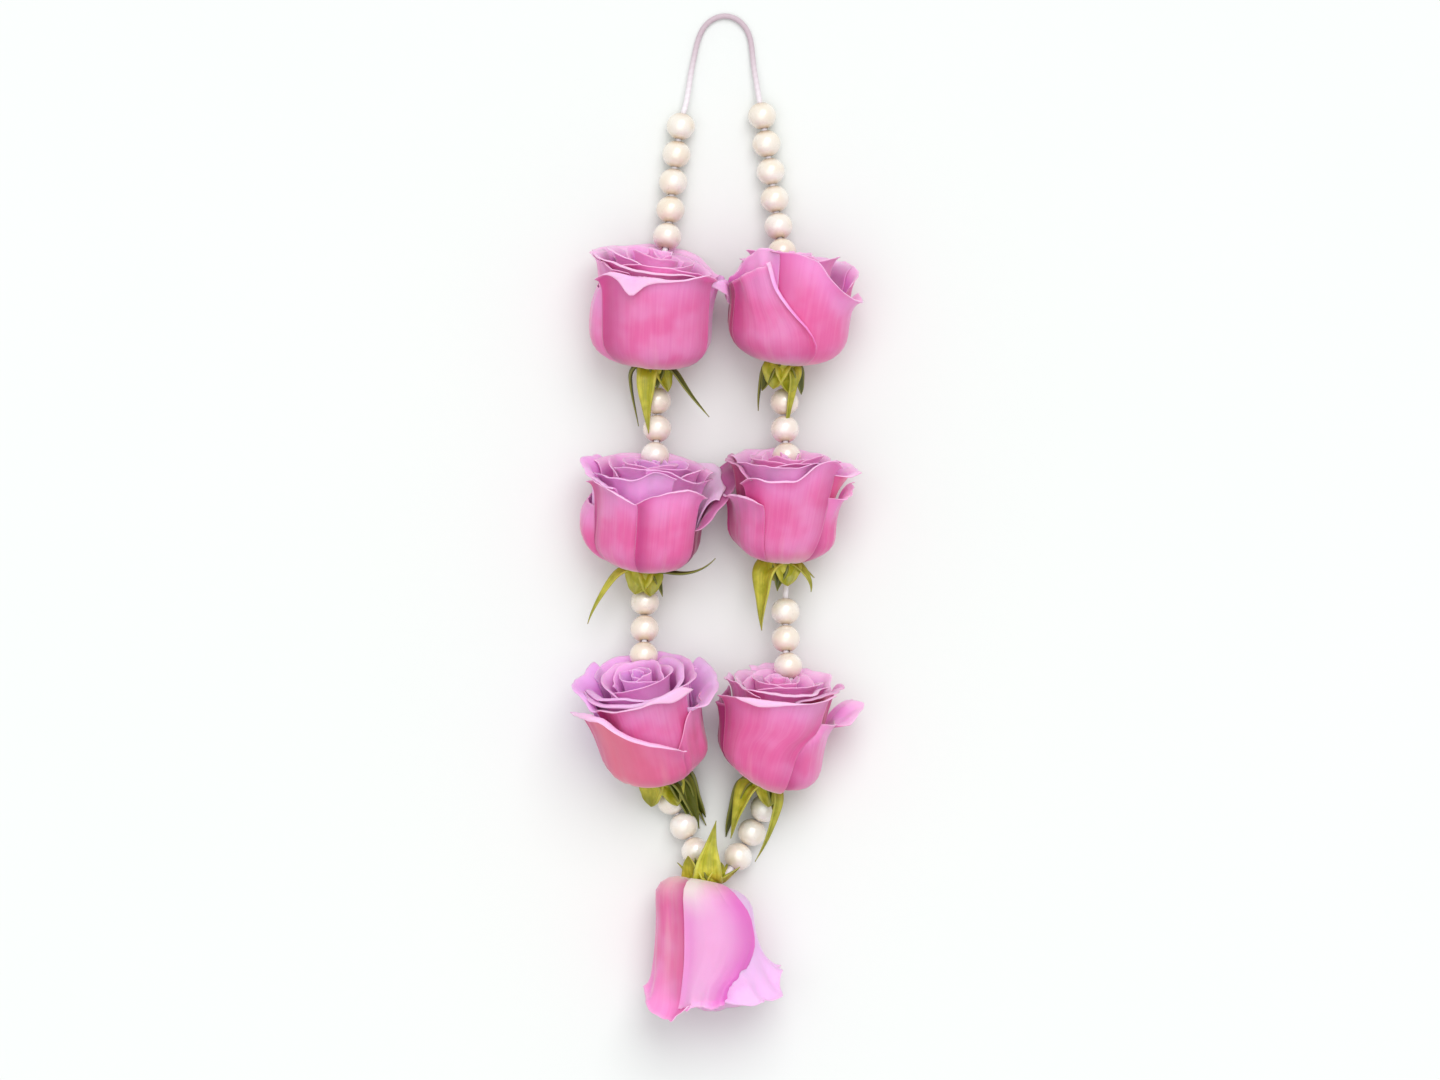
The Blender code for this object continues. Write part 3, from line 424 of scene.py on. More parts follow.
def set_light():
    """A white room and two broad soft lamps."""
    world = bpy.data.worlds.new("Room")
    world.use_nodes = True
    back = world.node_tree.nodes["Background"]
    back.inputs["Color"].default_value = (1.0, 1.0, 1.0, 1.0)
    back.inputs["Strength"].default_value = ROOM_LIGHT
    bpy.context.scene.world = world
    for name, turn, width, power in SUNS:
        sun = bpy.data.lights.new(name, "SUN")
        sun.energy = power
        sun.angle = math.radians(width)
        lamp = bpy.data.objects.new(name, sun)
        lamp.rotation_euler = [math.radians(t) for t in turn]
        lamp.location = (0.0, 0.0, LAMP_HEIGHT)
        bpy.context.scene.collection.objects.link(lamp)
    bpy.context.scene.view_settings.view_transform = "Standard"


# Materials


class Wire:
    """A number on its way through a material's nodes. Arithmetic on it adds Math nodes."""

    def __init__(self, paint, socket):
        self.paint, self.socket = paint, socket

    def into(self, operation, first, *rest):
        node = self.paint.add("ShaderNodeMath", {"operation": operation})
        for index, value in enumerate((first, *rest)):
            self.paint.feed(node.inputs[index], value)
        return Wire(self.paint, node.outputs[0])

    def __add__(self, other):
        return self.into("ADD", self, other)

    __radd__ = __add__

    def __sub__(self, other):
        return self.into("SUBTRACT", self, other)

    def __rsub__(self, other):
        return self.into("SUBTRACT", other, self)

    def __mul__(self, other):
        return self.into("MULTIPLY", self, other)

    __rmul__ = __mul__

    def __abs__(self):
        return self.into("ABSOLUTE", self)

    def at_most(self, other):
        return self.into("MINIMUM", self, other)

    def at_least(self, other):
        return self.into("MAXIMUM", self, other)

    def sine(self):
        return self.into("SINE", self)

    def between(self, low, high, to_low=0.0, to_high=1.0):
        """Ease to a new range as the number runs from low to high."""
        node = self.paint.add("ShaderNodeMapRange", {"interpolation_type": "SMOOTHSTEP"})
        for name, value in (
            ("Value", self), ("From Min", low), ("From Max", high), ("To Min", to_low), ("To Max", to_high)
        ):
            self.paint.feed(node.inputs[name], value)
        return Wire(self.paint, node.outputs["Result"])


class Paint:
    """A material with one main shader, and the nodes that lead to it."""

    def __init__(self, name, **steady):
        self.material = bpy.data.materials.new(name)
        self.material.use_nodes = True
        self.tree = self.material.node_tree
        self.shader = self.tree.nodes["Principled BSDF"]
        for socket, value in steady.items():
            self.shader.inputs[socket.replace("_", " ")].default_value = value

    def add(self, kind, settings=None, **sockets):
        node = self.tree.nodes.new(kind)
        for setting, value in (settings or {}).items():
            setattr(node, setting, value)
        for socket, value in sockets.items():
            self.feed(node.inputs[socket.replace("_", " ")], value)
        return node

    def feed(self, socket, value):
        if isinstance(value, Wire):
            value = value.socket
        if isinstance(value, bpy.types.NodeSocket):
            self.tree.links.new(value, socket)
        else:
            socket.default_value = value

    def wire(self, socket):
        return Wire(self, socket)

    def blend(self, share, first, second):
        """A mix of two colours."""
        node = self.add("ShaderNodeMix", {"data_type": "RGBA"})
        for index, value in ((0, share), (6, first), (7, second)):
            self.feed(node.inputs[index], value)
        return node.outputs[2]

    def coats(self, colour, *layers):
        """A colour with others laid over it, each by its share."""
        for share, over in layers:
            colour = self.blend(share, colour, over)
        return colour

    def map_of(self, name):
        """The two numbers of a UV map."""
        uv = self.add("ShaderNodeUVMap", {"uv_map": name})
        split = self.add("ShaderNodeSeparateXYZ", Vector=uv.outputs["UV"])
        return self.wire(split.outputs[0]), self.wire(split.outputs[1])

    def noise(self, where, scale, detail):
        node = self.add("ShaderNodeTexNoise", Vector=where, Scale=scale, Detail=detail, Roughness=0.5)
        return self.wire(node.outputs[0])

    def clouds(self, scale, detail):
        """Soft spots all over the piece, so many a metre."""
        return self.noise(self.add("ShaderNodeTexCoord").outputs["Object"], scale, detail)

    def stripes(self, x, y, z, detail):
        """Soft spots on a flat map, which draw out to stripes where x and y run at different paces."""
        node = self.add("ShaderNodeCombineXYZ")
        for index, value in enumerate((x, y, z)):
            self.feed(node.inputs[index], value)
        return self.noise(node.outputs[0], 1.0, detail)

    def veins(self, across, along, tint, paces, detail):
        """Stripes up a petal. Petals of another tint have other ones."""
        broad, tall, apart, deep = paces
        return self.stripes(across * broad + tint * apart, along * tall, tint * deep, detail)

    def finish(self, colour, roughness=None, bump=None, depth=0.0001, strength=1.0):
        self.feed(self.shader.inputs["Base Color"], colour)
        if roughness is not None:
            self.feed(self.shader.inputs["Roughness"], roughness)
        if bump is not None:
            node = self.add("ShaderNodeBump", Height=bump, Distance=depth, Strength=strength)
            self.feed(self.shader.inputs["Normal"], node.outputs["Normal"])
        return self.material


SOFT = (0.35, 0.65)
WIDE = (0.3, 0.7)
STREAKS = (3.2, 0.7, 61.0, 17.0)  # paces across and along a petal, and how far other tints are shifted
VEINS = (44.0, 2.2, 61.0, 17.0)
FINE_VEINS = (120.0, 7.0, 37.0, 23.0)
SEPAL_LINES = (12.0, 3.0, 31.0, 9.0)

PINK, WARM_PINK, RIM_PINK = srgb(238, 100, 160), srgb(242, 130, 184), srgb(246, 152, 212)
BLUSH, STREAK, CORAL = srgb(226, 70, 134), srgb(246, 172, 190), srgb(238, 108, 132)
PALE_VEIN, DARK_VEIN, LILAC_VEIN = srgb(250, 178, 212), srgb(214, 62, 132), srgb(252, 196, 240)
# Colours of the painted shade toward the sides of the petals.
DEEP_SIDE_SHADE, LILAC_SIDE_SHADE = srgb(188, 50, 120), srgb(228, 84, 186)
# Deep magenta painted shade for petals in shadow, on their outside and inside.
SHADE_MAGENTA, SHADE_MAGENTA_INSIDE = srgb(142, 30, 94), srgb(152, 44, 108)
FOOT_CREAM, CREAM = srgb(244, 204, 196), srgb(246, 230, 222)
LILAC, LIGHT_LILAC, RIM_LILAC = srgb(244, 150, 222), srgb(250, 176, 234), srgb(255, 192, 234)
OUTER_LILAC, COOL_LILAC, PALEST = srgb(248, 168, 220), srgb(224, 160, 238), srgb(253, 206, 244)
THROAT, EDGE_LIGHT = srgb(242, 112, 194), srgb(250, 190, 224)


def petal_paint():
    """Rose petals: pink with a cream foot, lilac inside and toward the rim, with very fine veins, painted
    shade toward their sides and deep magenta painted shade on petals in shadow.
    """
    paint = Paint(
        "Rose petals", Roughness=0.55, Specular_IOR_Level=0.3, Sheen_Weight=0.3, Sheen_Roughness=0.4,
        Subsurface_Weight=0.4, Subsurface_Scale=0.004,
    )
    paint.shader.inputs["Subsurface Radius"].default_value = (1.0, 0.35, 0.6)
    across, along = paint.map_of("Petal")
    inside, tint = paint.map_of("Tint")
    side = abs(across * 2.0 - 1.0)
    streaks = paint.veins(across, along, tint, STREAKS, 2.0)
    veins = paint.veins(across, along, tint, VEINS, 3.0)
    fine = paint.veins(across, along, tint, FINE_VEINS, 2.0)
    cloud, blush, velvet = paint.clouds(70.0, 2.0), paint.clouds(34.0, 1.0), paint.clouds(2600.0, 2.0)
    reach = tint.between(0.3, 0.8, 0.34, 0.62)
    # Painted shade: outer petals darken toward their side edges, most toward the left one, and less on
    # lilac petals.
    side_shade = (across.between(reach, 0.02) * 0.8).at_least(across.between(0.75, 1.0) * 0.35)
    side_shade_colour = paint.blend(tint.between(0.3, 0.8), DEEP_SIDE_SHADE, LILAC_SIDE_SHADE)
    rim = along.between(0.965, 1.0).at_least(side.between(0.97, 1.0) * 0.3).at_most(1.0)
    outside = paint.coats(
        paint.blend(cloud.between(*SOFT), PINK, WARM_PINK),
        (along.between(0.66, 0.96) * 0.7, RIM_PINK),
        (blush.between(0.5, 0.72) * 0.6, BLUSH),
        (streaks.between(0.56, 0.7) * along.between(1.0, 0.5) * 0.6, STREAK),
        (veins.between(0.45, 0.7) * 0.1, PALE_VEIN),
        (veins.between(0.48, 0.3) * 0.1, DARK_VEIN),
        (tint.between(0.0, -0.8) * across.between(1.1, 0.3, 0.2, 0.85), CORAL),
        (tint.between(0.0, 1.1) * 0.9, OUTER_LILAC),
        (side_shade * tint.between(1.2, 0.95), side_shade_colour),
        # Painted shade: petals tinted below -0.9 turn deep magenta.
        (tint.between(-0.9, -1.7) * 0.95, SHADE_MAGENTA),
        (along.between(0.4, 0.12) * across.between(0.0, 0.4, 0.3, 0.8), FOOT_CREAM),
        (along.between(0.5, 0.16) * across.between(0.4, 0.9) * tint.between(0.5, 0.9) * 0.9, CREAM),
    )
    lilac = paint.coats(
        paint.blend(cloud.between(*SOFT), LILAC, LIGHT_LILAC),
        (veins.between(0.42, 0.68) * 0.12, LILAC_VEIN),
        (along.between(0.8, 0.45), THROAT),
        (along.between(0.86, 0.97) * tint.between(1.0, 0.3, 0.3, 0.8), RIM_LILAC),
    )
    colour = paint.coats(
        paint.blend(inside.between(*SOFT), outside, lilac),
        (tint.between(0.9, 1.7) * 0.7, COOL_LILAC),
        (tint.between(1.8, 2.2) * 0.85, PALEST),
        # Painted shade on the inside of the deep magenta petals too.
        (tint.between(-0.9, -1.7) * inside * 0.8, SHADE_MAGENTA_INSIDE),
        (rim * 0.3, EDGE_LIGHT),
    )
    relief = veins * 0.5 + fine * 0.25 + velvet * 0.25
    return paint.finish(colour, cloud.between(*WIDE, 0.5, 0.66), relief, 0.00016, 0.5)


LEAF, LIGHT_LEAF, LEAF_LINE = srgb(168, 168, 30), srgb(200, 196, 62), srgb(128, 134, 20)
DARK_OLIVE, OLIVE_TIP, LEAF_EDGE = srgb(66, 76, 14), srgb(84, 88, 16), srgb(196, 196, 96)


def green_paint():
    """Hips and sepals: yellow-green to dark olive, with fine lines and paler edges."""
    paint = Paint("Rose greens", Roughness=0.4, Specular_IOR_Level=0.5, Subsurface_Weight=0.1,
                  Subsurface_Scale=0.0015)
    across, along = paint.map_of("Petal")
    _, shade = paint.map_of("Tint")
    side = abs(across * 2.0 - 1.0)
    lines = paint.veins(across, along, shade, SEPAL_LINES, 3.0)
    cloud, grain = paint.clouds(260.0, 3.0), paint.clouds(2200.0, 2.0)
    colour = paint.coats(
        paint.blend(cloud.between(*SOFT), LEAF, LIGHT_LEAF),
        (lines.between(0.4, 0.7) * 0.4, LEAF_LINE),
        (shade.between(0.2, 1.0), DARK_OLIVE),
        (along.between(0.45, 1.0) * 0.55, OLIVE_TIP),
        (side.between(0.7, 1.0) * 0.3, LEAF_EDGE),
    )
    return paint.finish(colour, cloud.between(*WIDE, 0.3, 0.5), lines * 0.6 + grain * 0.4, 0.0002, 0.5)


PEARL_WHITE, PEARL_SHADE, PEARL_GLOW = srgb(243, 241, 237), srgb(238, 232, 224), srgb(236, 220, 194)
PEARL_CREAM, PEARL_TAN_SHADE, HOLE_BROWN = srgb(230, 213, 186), srgb(204, 176, 144), srgb(140, 108, 84)


def pearl_paint():
    """Cream pearls: a soft shine over faint clouds, painted tan shade toward the hole where the beads meet,
    and brown in it.
    """
    paint = Paint("Pearl beads", Roughness=0.3, Specular_IOR_Level=0.8, Coat_Weight=1.0, Coat_IOR=1.9,
                  Coat_Roughness=0.27)
    _, along = paint.map_of("Petal")
    _, cream = paint.map_of("Tint")
    cloud, glow, skin = paint.clouds(260.0, 2.0), paint.clouds(110.0, 1.0), paint.clouds(1500.0, 2.0)
    # Painted shade: tan toward each end, where the beads meet and shade each other.
    ends = along.between(0.34, 0.12).at_least(along.between(0.66, 0.88)).at_most(1.0)
    hole = along.between(0.12, 0.03).at_least(along.between(0.88, 0.97)).at_most(1.0)
    colour = paint.coats(
        paint.blend(cloud.between(*WIDE), PEARL_WHITE, PEARL_SHADE),
        (glow.between(0.4, 0.65) * 0.5, PEARL_GLOW),
        (cream * 0.55, PEARL_CREAM),
        (ends * cream.between(0.0, 0.7, 0.3, 0.8), PEARL_TAN_SHADE),
        (hole * 0.8, HOLE_BROWN),
    )
    return paint.finish(colour, cloud.between(*WIDE, 0.24, 0.36), cloud * 0.5 + skin * 0.2, 0.00005, 0.2)


MAUVE, LIGHT_MAUVE, FIBRE = srgb(232, 225, 230), srgb(238, 232, 237), srgb(206, 190, 202)
GREY_MAUVE, LOOP_MAUVE = srgb(206, 190, 200), srgb(178, 152, 164)
CORD_TOP = 906.0  # where the top of the loop lies, counted in the turns of the strands
TOP_REACH = (110.0, 30.0)


def cord_paint():
    """Thin cord: pale mauve, darker at the top of its loop, with the turns of its strands."""
    paint = Paint("Mauve cord", Roughness=0.6, Sheen_Weight=0.3, Sheen_Roughness=0.5)
    across, along = paint.map_of("Petal")
    turns = (along + across * FULL_TURN).sine()
    fibres = paint.stripes(across * 30.0, along * 0.6, 0.0, 2.0)
    drift = paint.clouds(18.0, 1.0)
    colour = paint.coats(
        paint.blend(turns.between(-1.0, 1.0), MAUVE, LIGHT_MAUVE),
        (fibres.between(0.4, 0.7) * 0.2, FIBRE),
        (drift.between(0.5, 0.75) * 0.3, GREY_MAUVE),
        (abs(along - CORD_TOP).between(*TOP_REACH) * 0.75, LOOP_MAUVE),
    )
    return paint.finish(colour, fibres.between(*WIDE, 0.5, 0.72), turns * 0.3 + fibres * 0.4, 0.0001, 0.2)


def floor_paint():
    """A pale, even surface with hardly any clouds."""
    paint = Paint("Pale floor", Roughness=0.8, Specular_IOR_Level=0.1)
    return paint.finish(paint.blend(paint.clouds(6.0, 2.0), srgb(226, 230, 228), srgb(229, 232, 230)))


# Meshes


class Mesh:
    """Points and faces gathered for one piece, with two pairs of numbers at each corner."""

    def __init__(self):
        self.points, self.faces, self.maps = [], [], []
        self.count = 0

    def add(self, points, faces, first, second):
        """Points, faces as rows of indices, and for each point its two pairs of numbers."""
        self.points.append(np.asarray(points, float))
        self.faces.append(np.asarray(faces, int) + self.count)
        self.maps.append(np.hstack([first, second]))
        self.count += len(points)

    def piece(self, name, material):
        points = np.vstack(self.points)
        numbers = np.vstack(self.maps)
        faces = [face for group in self.faces for face in group.tolist()]
        mesh = bpy.data.meshes.new(name)
        mesh.from_pydata(points.tolist(), [], faces)
        corners = np.empty(len(mesh.loops), int)
        mesh.loops.foreach_get("vertex_index", corners)
        for index, layer in enumerate(("Petal", "Tint")):
            uv = mesh.uv_layers.new(name=layer)
            uv.data.foreach_set("uv", numbers[corners, 2 * index : 2 * index + 2].ravel())
        mesh.polygons.foreach_set("use_smooth", [True] * len(mesh.polygons))
        mesh.materials.append(material)
        mesh.update()
        thing = bpy.data.objects.new(name, mesh)
        bpy.context.scene.collection.objects.link(thing)
        return thing


def grid_faces(columns, rows, start=0, flip=False, wrap=False):
    """Rows of four corners over a grid whose points run along rows first."""
    faces = []
    for i in range(columns if wrap else columns - 1):
        for j in range(rows - 1):
            after = (i + 1) % columns
            face = [start + i * rows + j, start + after * rows + j]
            face += [start + after * rows + j + 1, start + i * rows + j + 1]
            faces.append(face[::-1] if flip else face)
    return faces


def add_cap(mesh, ring, flip, first, second):
    """A fan that closes a ring of points, with the same numbers at all of them."""
    count = len(ring)
    fan = [[i, (i + 1) % count, count][:: -1 if flip else 1] for i in range(count)]
    points = np.vstack([ring, ring.mean(axis=0, keepdims=True)])
    mesh.add(points, fan, np.full((count + 1, 2), first), np.full((count + 1, 2), second))


def turned(profile, sides, ribs=0.0):
    """A profile turned round the Z axis: its points, and how far round and along it each one is."""
    points, maps = [], []
    for side in range(sides):
        turn = math.tau * side / sides
        swell = 1.0 + ribs * math.cos(5.0 * turn)
        for step, (radius, height) in enumerate(profile):
            reach = radius * swell
            points.append((reach * math.cos(turn), reach * math.sin(turn), height))
            maps.append((side / sides, step))
    return np.array(points), np.array(maps)


def add_sheet(mesh, grid, maps, thickness, tint):
    """A closed thin sheet round a grid of points, with numbers that tell its two sides apart."""
    columns, rows = grid.shape[:2]
    across = np.gradient(grid, axis=0)
    along = np.gradient(grid, axis=1)
    normal = np.cross(across, along)
    normal /= np.linalg.norm(normal, axis=2, keepdims=True) + 1e-12
    front = grid + normal * thickness[..., None] / 2
    back = grid - normal * thickness[..., None] / 2
    size = columns * rows
    faces = grid_faces(columns, rows) + grid_faces(columns, rows, size, flip=True)
    edge = [(i, 0) for i in range(columns)] + [(columns - 1, j) for j in range(1, rows)]
    edge += [(i, rows - 1) for i in range(columns - 2, -1, -1)] + [(0, j) for j in range(rows - 2, 0, -1)]
    ring = [i * rows + j for i, j in edge]
    for one, two in zip(ring, ring[1:] + ring[:1]):
        faces.append([one, one + size, two + size, two])
    first = np.vstack([maps.reshape(-1, 2)] * 2)
    second = np.vstack([np.tile((0.0, tint), (size, 1)), np.tile((1.0, tint), (size, 1))])
    mesh.add(np.vstack([front.reshape(-1, 3), back.reshape(-1, 3)]), faces, first, second)


# Petals

SIDE_ROLL = 0.0032  # width of the part of a side edge that rolls out
ROLL_START, ROLL_RUN = 0.3, 0.35  # where up the petal it sets in, and over how much of it
FOLDED = 168.0  # degrees that a flap of the rim is folded over
FOLD_RUN = 0.0020  # length over which a flap bends
FOLD_FULL = 0.0012  # a flap of this length is folded over fully
PROFILE_STEPS = 110
FLARE_RUN = 0.006  # shortest length over which a petal flares
COLUMN_SPAN = 1.3  # the columns of a petal stand closer toward its sides
PETAL_ROWS = np.concatenate([np.linspace(0.05, 0.76, 13), np.linspace(0.80, 1.0, 17)])[None, :]
RIM_WAVES = ((0.5, 5.0), (0.3, 12.0), (0.14, 27.0))  # size and pace of the waves of a rim
ROUNDED = (0.74, 0.26, 0.5)  # width of a petal near its foot, and how soon it is full
SPARE = 0.012  # a first guess at how much longer a petal is than tall
FIT_ROUNDS = 4
SHORTEST = 0.008
SHEET = 0.00048
RIM_SHEET = 0.0003
THINNING = 0.8  # share of a petal's length from which it thins to its rim
SURFACE_GAP = 0.0002  # between the lowest petals and the surface
DENT = 0.0005
WRINKLE = 0.00012
RUFFLE_WAVES = (4, 1.5, 4.5)  # how many waves, and their slowest and quickest pace
DENT_WAVES = (4, 0.8, 2.5)
WRINKLE_WAVES = (5, 4.0, 9.0)
CREASE = 0.0005
CREASES = 3
CREASE_REACH, CREASE_WIDTHS, CREASE_ENDS = 0.8, (0.05, 0.12), (0.5, 1.0)
NEARLY_FLAT = 0.01  # least turn of a side edge, so that nothing is divided by zero
NARROWEST = 0.004  # least radius at which a side edge rolls


def waves(u, v, rng, count, low, high):
    """A gentle uneven field from a few sine waves, between about -1 and 1."""
    total = 0.0
    for _ in range(count):
        turn, pace, phase = rng.uniform(-0.9, 0.9), rng.uniform(low, high), rng.uniform(0.0, FULL_TURN)
        total = total + np.sin(pace * (u * math.cos(turn) + v * math.sin(turn)) * math.pi + phase)
    return total / count**0.5


def petal_profile(petal, rose, turn, length, flap):
    """Radius and height along each column of a petal of the given lengths."""
    bowl = (ROSE_RADIUS * rose.size * rose.body - petal.depth - PETAL_FOOT) / FOOT_REACH
    at = length * np.linspace(0.0, 1.0, PROFILE_STEPS + 1)[None, :]
    crest = length - flap
    sag, sideways = rose.sag
    start = np.pi / 2 + np.radians(sag + sideways * np.sin(np.radians(turn)))
    angle = start * np.maximum(0.0, 1.0 - (at / bowl) ** FOOT_POWER)
    flare, lip, curl = np.radians(petal.flare), np.radians(petal.lip), np.radians(petal.curl)
    fold = (np.radians(FOLDED) - flare - lip - curl) * smooth(flap / FOLD_FULL)
    angle = angle + flare * smooth((at - bowl) / np.maximum(length - bowl, FLARE_RUN))
    angle = angle + lip * smooth((at - crest + LIP) / LIP) + curl * smooth((at - crest + CURL) / CURL)
    angle = angle + fold * smooth((at - crest) / FOLD_RUN)
    stride = length / PROFILE_STEPS
    return PETAL_FOOT + np.cumsum(stride * np.sin(angle), axis=1), np.cumsum(stride * np.cos(angle), axis=1)


def petal_columns(petal, rose, u, rng):
    """Radius and height up each column of a petal, which is made as long as its rim is tall."""
    phase = rng.uniform(0.0, math.tau)
    left = petal.left_edge[-1][1] if petal.left_edge else petal.facing - petal.spread
    right = petal.right_edge[-1][1] if petal.right_edge else petal.facing + petal.spread
    turn = (left + right) / 2 + u * (right - left) / 2
    tall = through(petal.rim, turn) * MM
    for size, pace in RIM_WAVES:
        tall += petal.ruffle * MM * size * np.sin(pace * u + pace * phase)
    flap = np.maximum(through(petal.flaps, turn), 0.0) * MM if petal.flaps else np.zeros_like(u)
    length = tall + flap + SPARE
    for _ in range(FIT_ROUNDS):
        radius, height = petal_profile(petal, rose, turn, length, flap)
        length = np.maximum(length + tall - height.max(axis=1, keepdims=True), SHORTEST)
    steps = np.linspace(0.0, 1.0, PROFILE_STEPS + 1)
    return [
        np.array([np.interp(PETAL_ROWS[0], steps, column) for column in columns])
        for columns in petal_profile(petal, rose, turn, length, flap)
    ]


def add_relief(radius, petal, u, rng):
    """Ruffles toward a petal's rim, and dents, wrinkles and creases above its foot."""
    rows = PETAL_ROWS
    radius += petal.ruffle * MM * waves(u, rows * 0.3, rng, *RUFFLE_WAVES) * smooth((rows - 0.68) / 0.32)
    radius += DENT * waves(u, rows, rng, *DENT_WAVES) * smooth((rows - 0.2) / 0.3)
    radius += WRINKLE * waves(u, rows * 0.6, rng, *WRINKLE_WAVES) * smooth((rows - 0.2) / 0.5)
    for _ in range(CREASES):
        at, width = rng.uniform(-CREASE_REACH, CREASE_REACH), rng.uniform(*CREASE_WIDTHS)
        reach = 1.0 - smooth(rows / rng.uniform(*CREASE_ENDS))
        radius -= CREASE * np.exp(-(((u - at) / width) ** 2)) * reach


def petal_sides(petal, height):
    """Turns of a petal's two side edges, for the height of each of its points."""
    low, gain, full = ROUNDED
    width = low + gain * smooth(PETAL_ROWS / full)
    left = petal.facing - petal.spread * width
    right = petal.facing + petal.spread * width
    if petal.left_edge:
        left = through(petal.left_edge, height / MM)
    if petal.right_edge:
        right = through(petal.right_edge, height / MM)
    return left, right


def petal_surface(petal, rose, rng):
    """The petal's middle surface as angle, radius and height round the rose's axis."""
    u = np.sin(np.linspace(-COLUMN_SPAN, COLUMN_SPAN, petal.columns + 1))
    u = (u / u[-1])[:, None]
    radius, height = petal_columns(petal, rose, u, rng)
    add_relief(radius, petal, u, rng)
    left, right = petal_sides(petal, height)
    half = np.radians(right - left) / 2
    theta = np.radians(left + right) / 2 + u * half
    # The side edges roll out.
    curl = np.radians(np.where(u > 0, petal.right_curl, petal.left_curl))
    curl = curl * smooth((PETAL_ROWS - ROLL_START) / ROLL_RUN)
    curl = np.where(abs(curl) < NEARLY_FLAT, NEARLY_FLAT, curl)
    broad = np.maximum(radius, NARROWEST)
    into = np.clip(1.0 - (1.0 - abs(u)) * half * broad / SIDE_ROLL, 0.0, 1.0)
    theta -= np.sign(u) * SIDE_ROLL * (into - np.sin(curl * into) / curl) / broad
    radius += SIDE_ROLL / curl * (1.0 - np.cos(curl * into))
    maps = np.stack(np.broadcast_arrays((u + 1) / 2, PETAL_ROWS), axis=2)
    return theta, radius, height, maps


PETAL_GAP = 0.0007
INNERMOST = 0.0008  # how close to the axis a petal may be pressed


class Sleeve:
    """How far out the space inside the petals made so far reaches, round the axis and up it."""

    TURNS, LEVELS, TOP = 120, 80, 0.08

    def __init__(self):
        self.reach = np.full((self.TURNS, self.LEVELS), 1.0)

    def hold(self, theta, radius, height):
        """Press a petal's surface inside the petals that stand outside it."""
        turn = (np.degrees(theta) % 360.0) / 360.0 * self.TURNS
        level = np.clip(height / self.TOP * self.LEVELS, 0, self.LEVELS - 1.001)
        i, j = np.floor(turn).astype(int), np.floor(level).astype(int)
        a, b = turn - i, level - j
        i0, i1 = i % self.TURNS, (i + 1) % self.TURNS
        limit = (self.reach[i0, j] * (1 - a) + self.reach[i1, j] * a) * (1 - b)
        limit += (self.reach[i0, j + 1] * (1 - a) + self.reach[i1, j + 1] * a) * b
        return np.minimum(radius, np.maximum(limit - PETAL_GAP, INNERMOST))

    def line(self, theta, radius, height):
        """Add a petal to what later ones stand inside."""
        levels = (np.arange(self.LEVELS) + 0.5) / self.LEVELS * self.TOP
        for place in np.linspace(0.0, len(theta) - 1.001, 4 * len(theta)):
            low = int(place)
            share = place - low
            turn, reach, up = (
                rows[low] * (1 - share) + rows[low + 1] * share for rows in (theta, radius, height)
            )
            end = int(np.argmax(up)) + 1
            inside = np.flatnonzero((levels >= up[0]) & (levels <= up[end - 1]))
            there = np.interp(levels[inside], up[:end], np.degrees(turn[:end]))
            spot = np.round(there / 360.0 * self.TURNS).astype(int) % self.TURNS
            edge = np.interp(levels[inside], up[:end], reach[:end])
            np.minimum.at(self.reach, (spot, inside), edge)


HEART = 0.0028  # how far from the axis the innermost petal stands
RIM_DROPS = ((-1.0, 3.0), (-0.5, 0.2), (0.0, 0.0), (0.5, 0.6), (1.0, 4.5))  # place, drop in millimetres
INNER_COLUMNS = 26
INNER_SPREAD = (70.0, 60.0)  # half width of the first inner petal, and how much more the last one's is
INNER_LIP, INNER_CURL = (18.0, 42.0), (10.0, 50.0)
INNER_PLAY = 14.0  # degrees that an inner petal may face aside
RIM_PLAY = 0.7
TINT_PLAY = 0.15
INNER_MAP = (0.4, 0.3)  # an inner petal is coloured like the middle of an outer one
EASE_ROUNDS = 10
TOP_ROOM = 0.010  # depth below its top over which a rose is eased down


def rose_petals(rose, rng):
    """The rose's outer petals, then its inner ones on a tightening spiral."""
    petals = []
    for index, petal in enumerate(rose.outer):
        depth = index * LAYER - petal.lift * MM
        petals.append(replace(petal, depth=depth, flare=petal.flare + rose.open))
    turn = rng.uniform(0.0, 360.0)
    full = ROSE_RADIUS * rose.size * rose.body
    first = len(rose.outer) * LAYER
    last = full - HEART
    middle, front, right = rose.mouth
    for index in range(rose.inner):
        share = index / (rose.inner - 1)
        depth = first + (last - first) * share**0.9
        facing = (turn + GOLDEN * index + rng.uniform(-INNER_PLAY, INNER_PLAY)) % 360.0
        spread = INNER_SPREAD[0] + INNER_SPREAD[1] * share
        rim = []
        for side, drop in RIM_DROPS:
            at = facing + side * spread
            lean = front * math.cos(math.radians(at)) + right * math.sin(math.radians(at))
            up = middle + lean * (full - depth) / full
            up = up + rose.dome * share - drop * (1.0 - 0.6 * share)
            rim.append((at, up + rng.uniform(-RIM_PLAY, RIM_PLAY)))
        petals.append(
            Petal(
                facing, spread, rim=tuple(rim), depth=depth,
                lip=rng.uniform(*INNER_LIP) * (1.0 - share) + 8.0,
                curl=rng.uniform(*INNER_CURL) * (1.0 - share),
                flare=rose.open * (1.0 - share) - 3.0 * share,
                left_curl=10.0, right_curl=30.0, ruffle=0.45, columns=INNER_COLUMNS,
                tint=rose.lilac + 0.25 * share + rng.uniform(-TINT_PLAY, TINT_PLAY),
            )
        )
    return petals


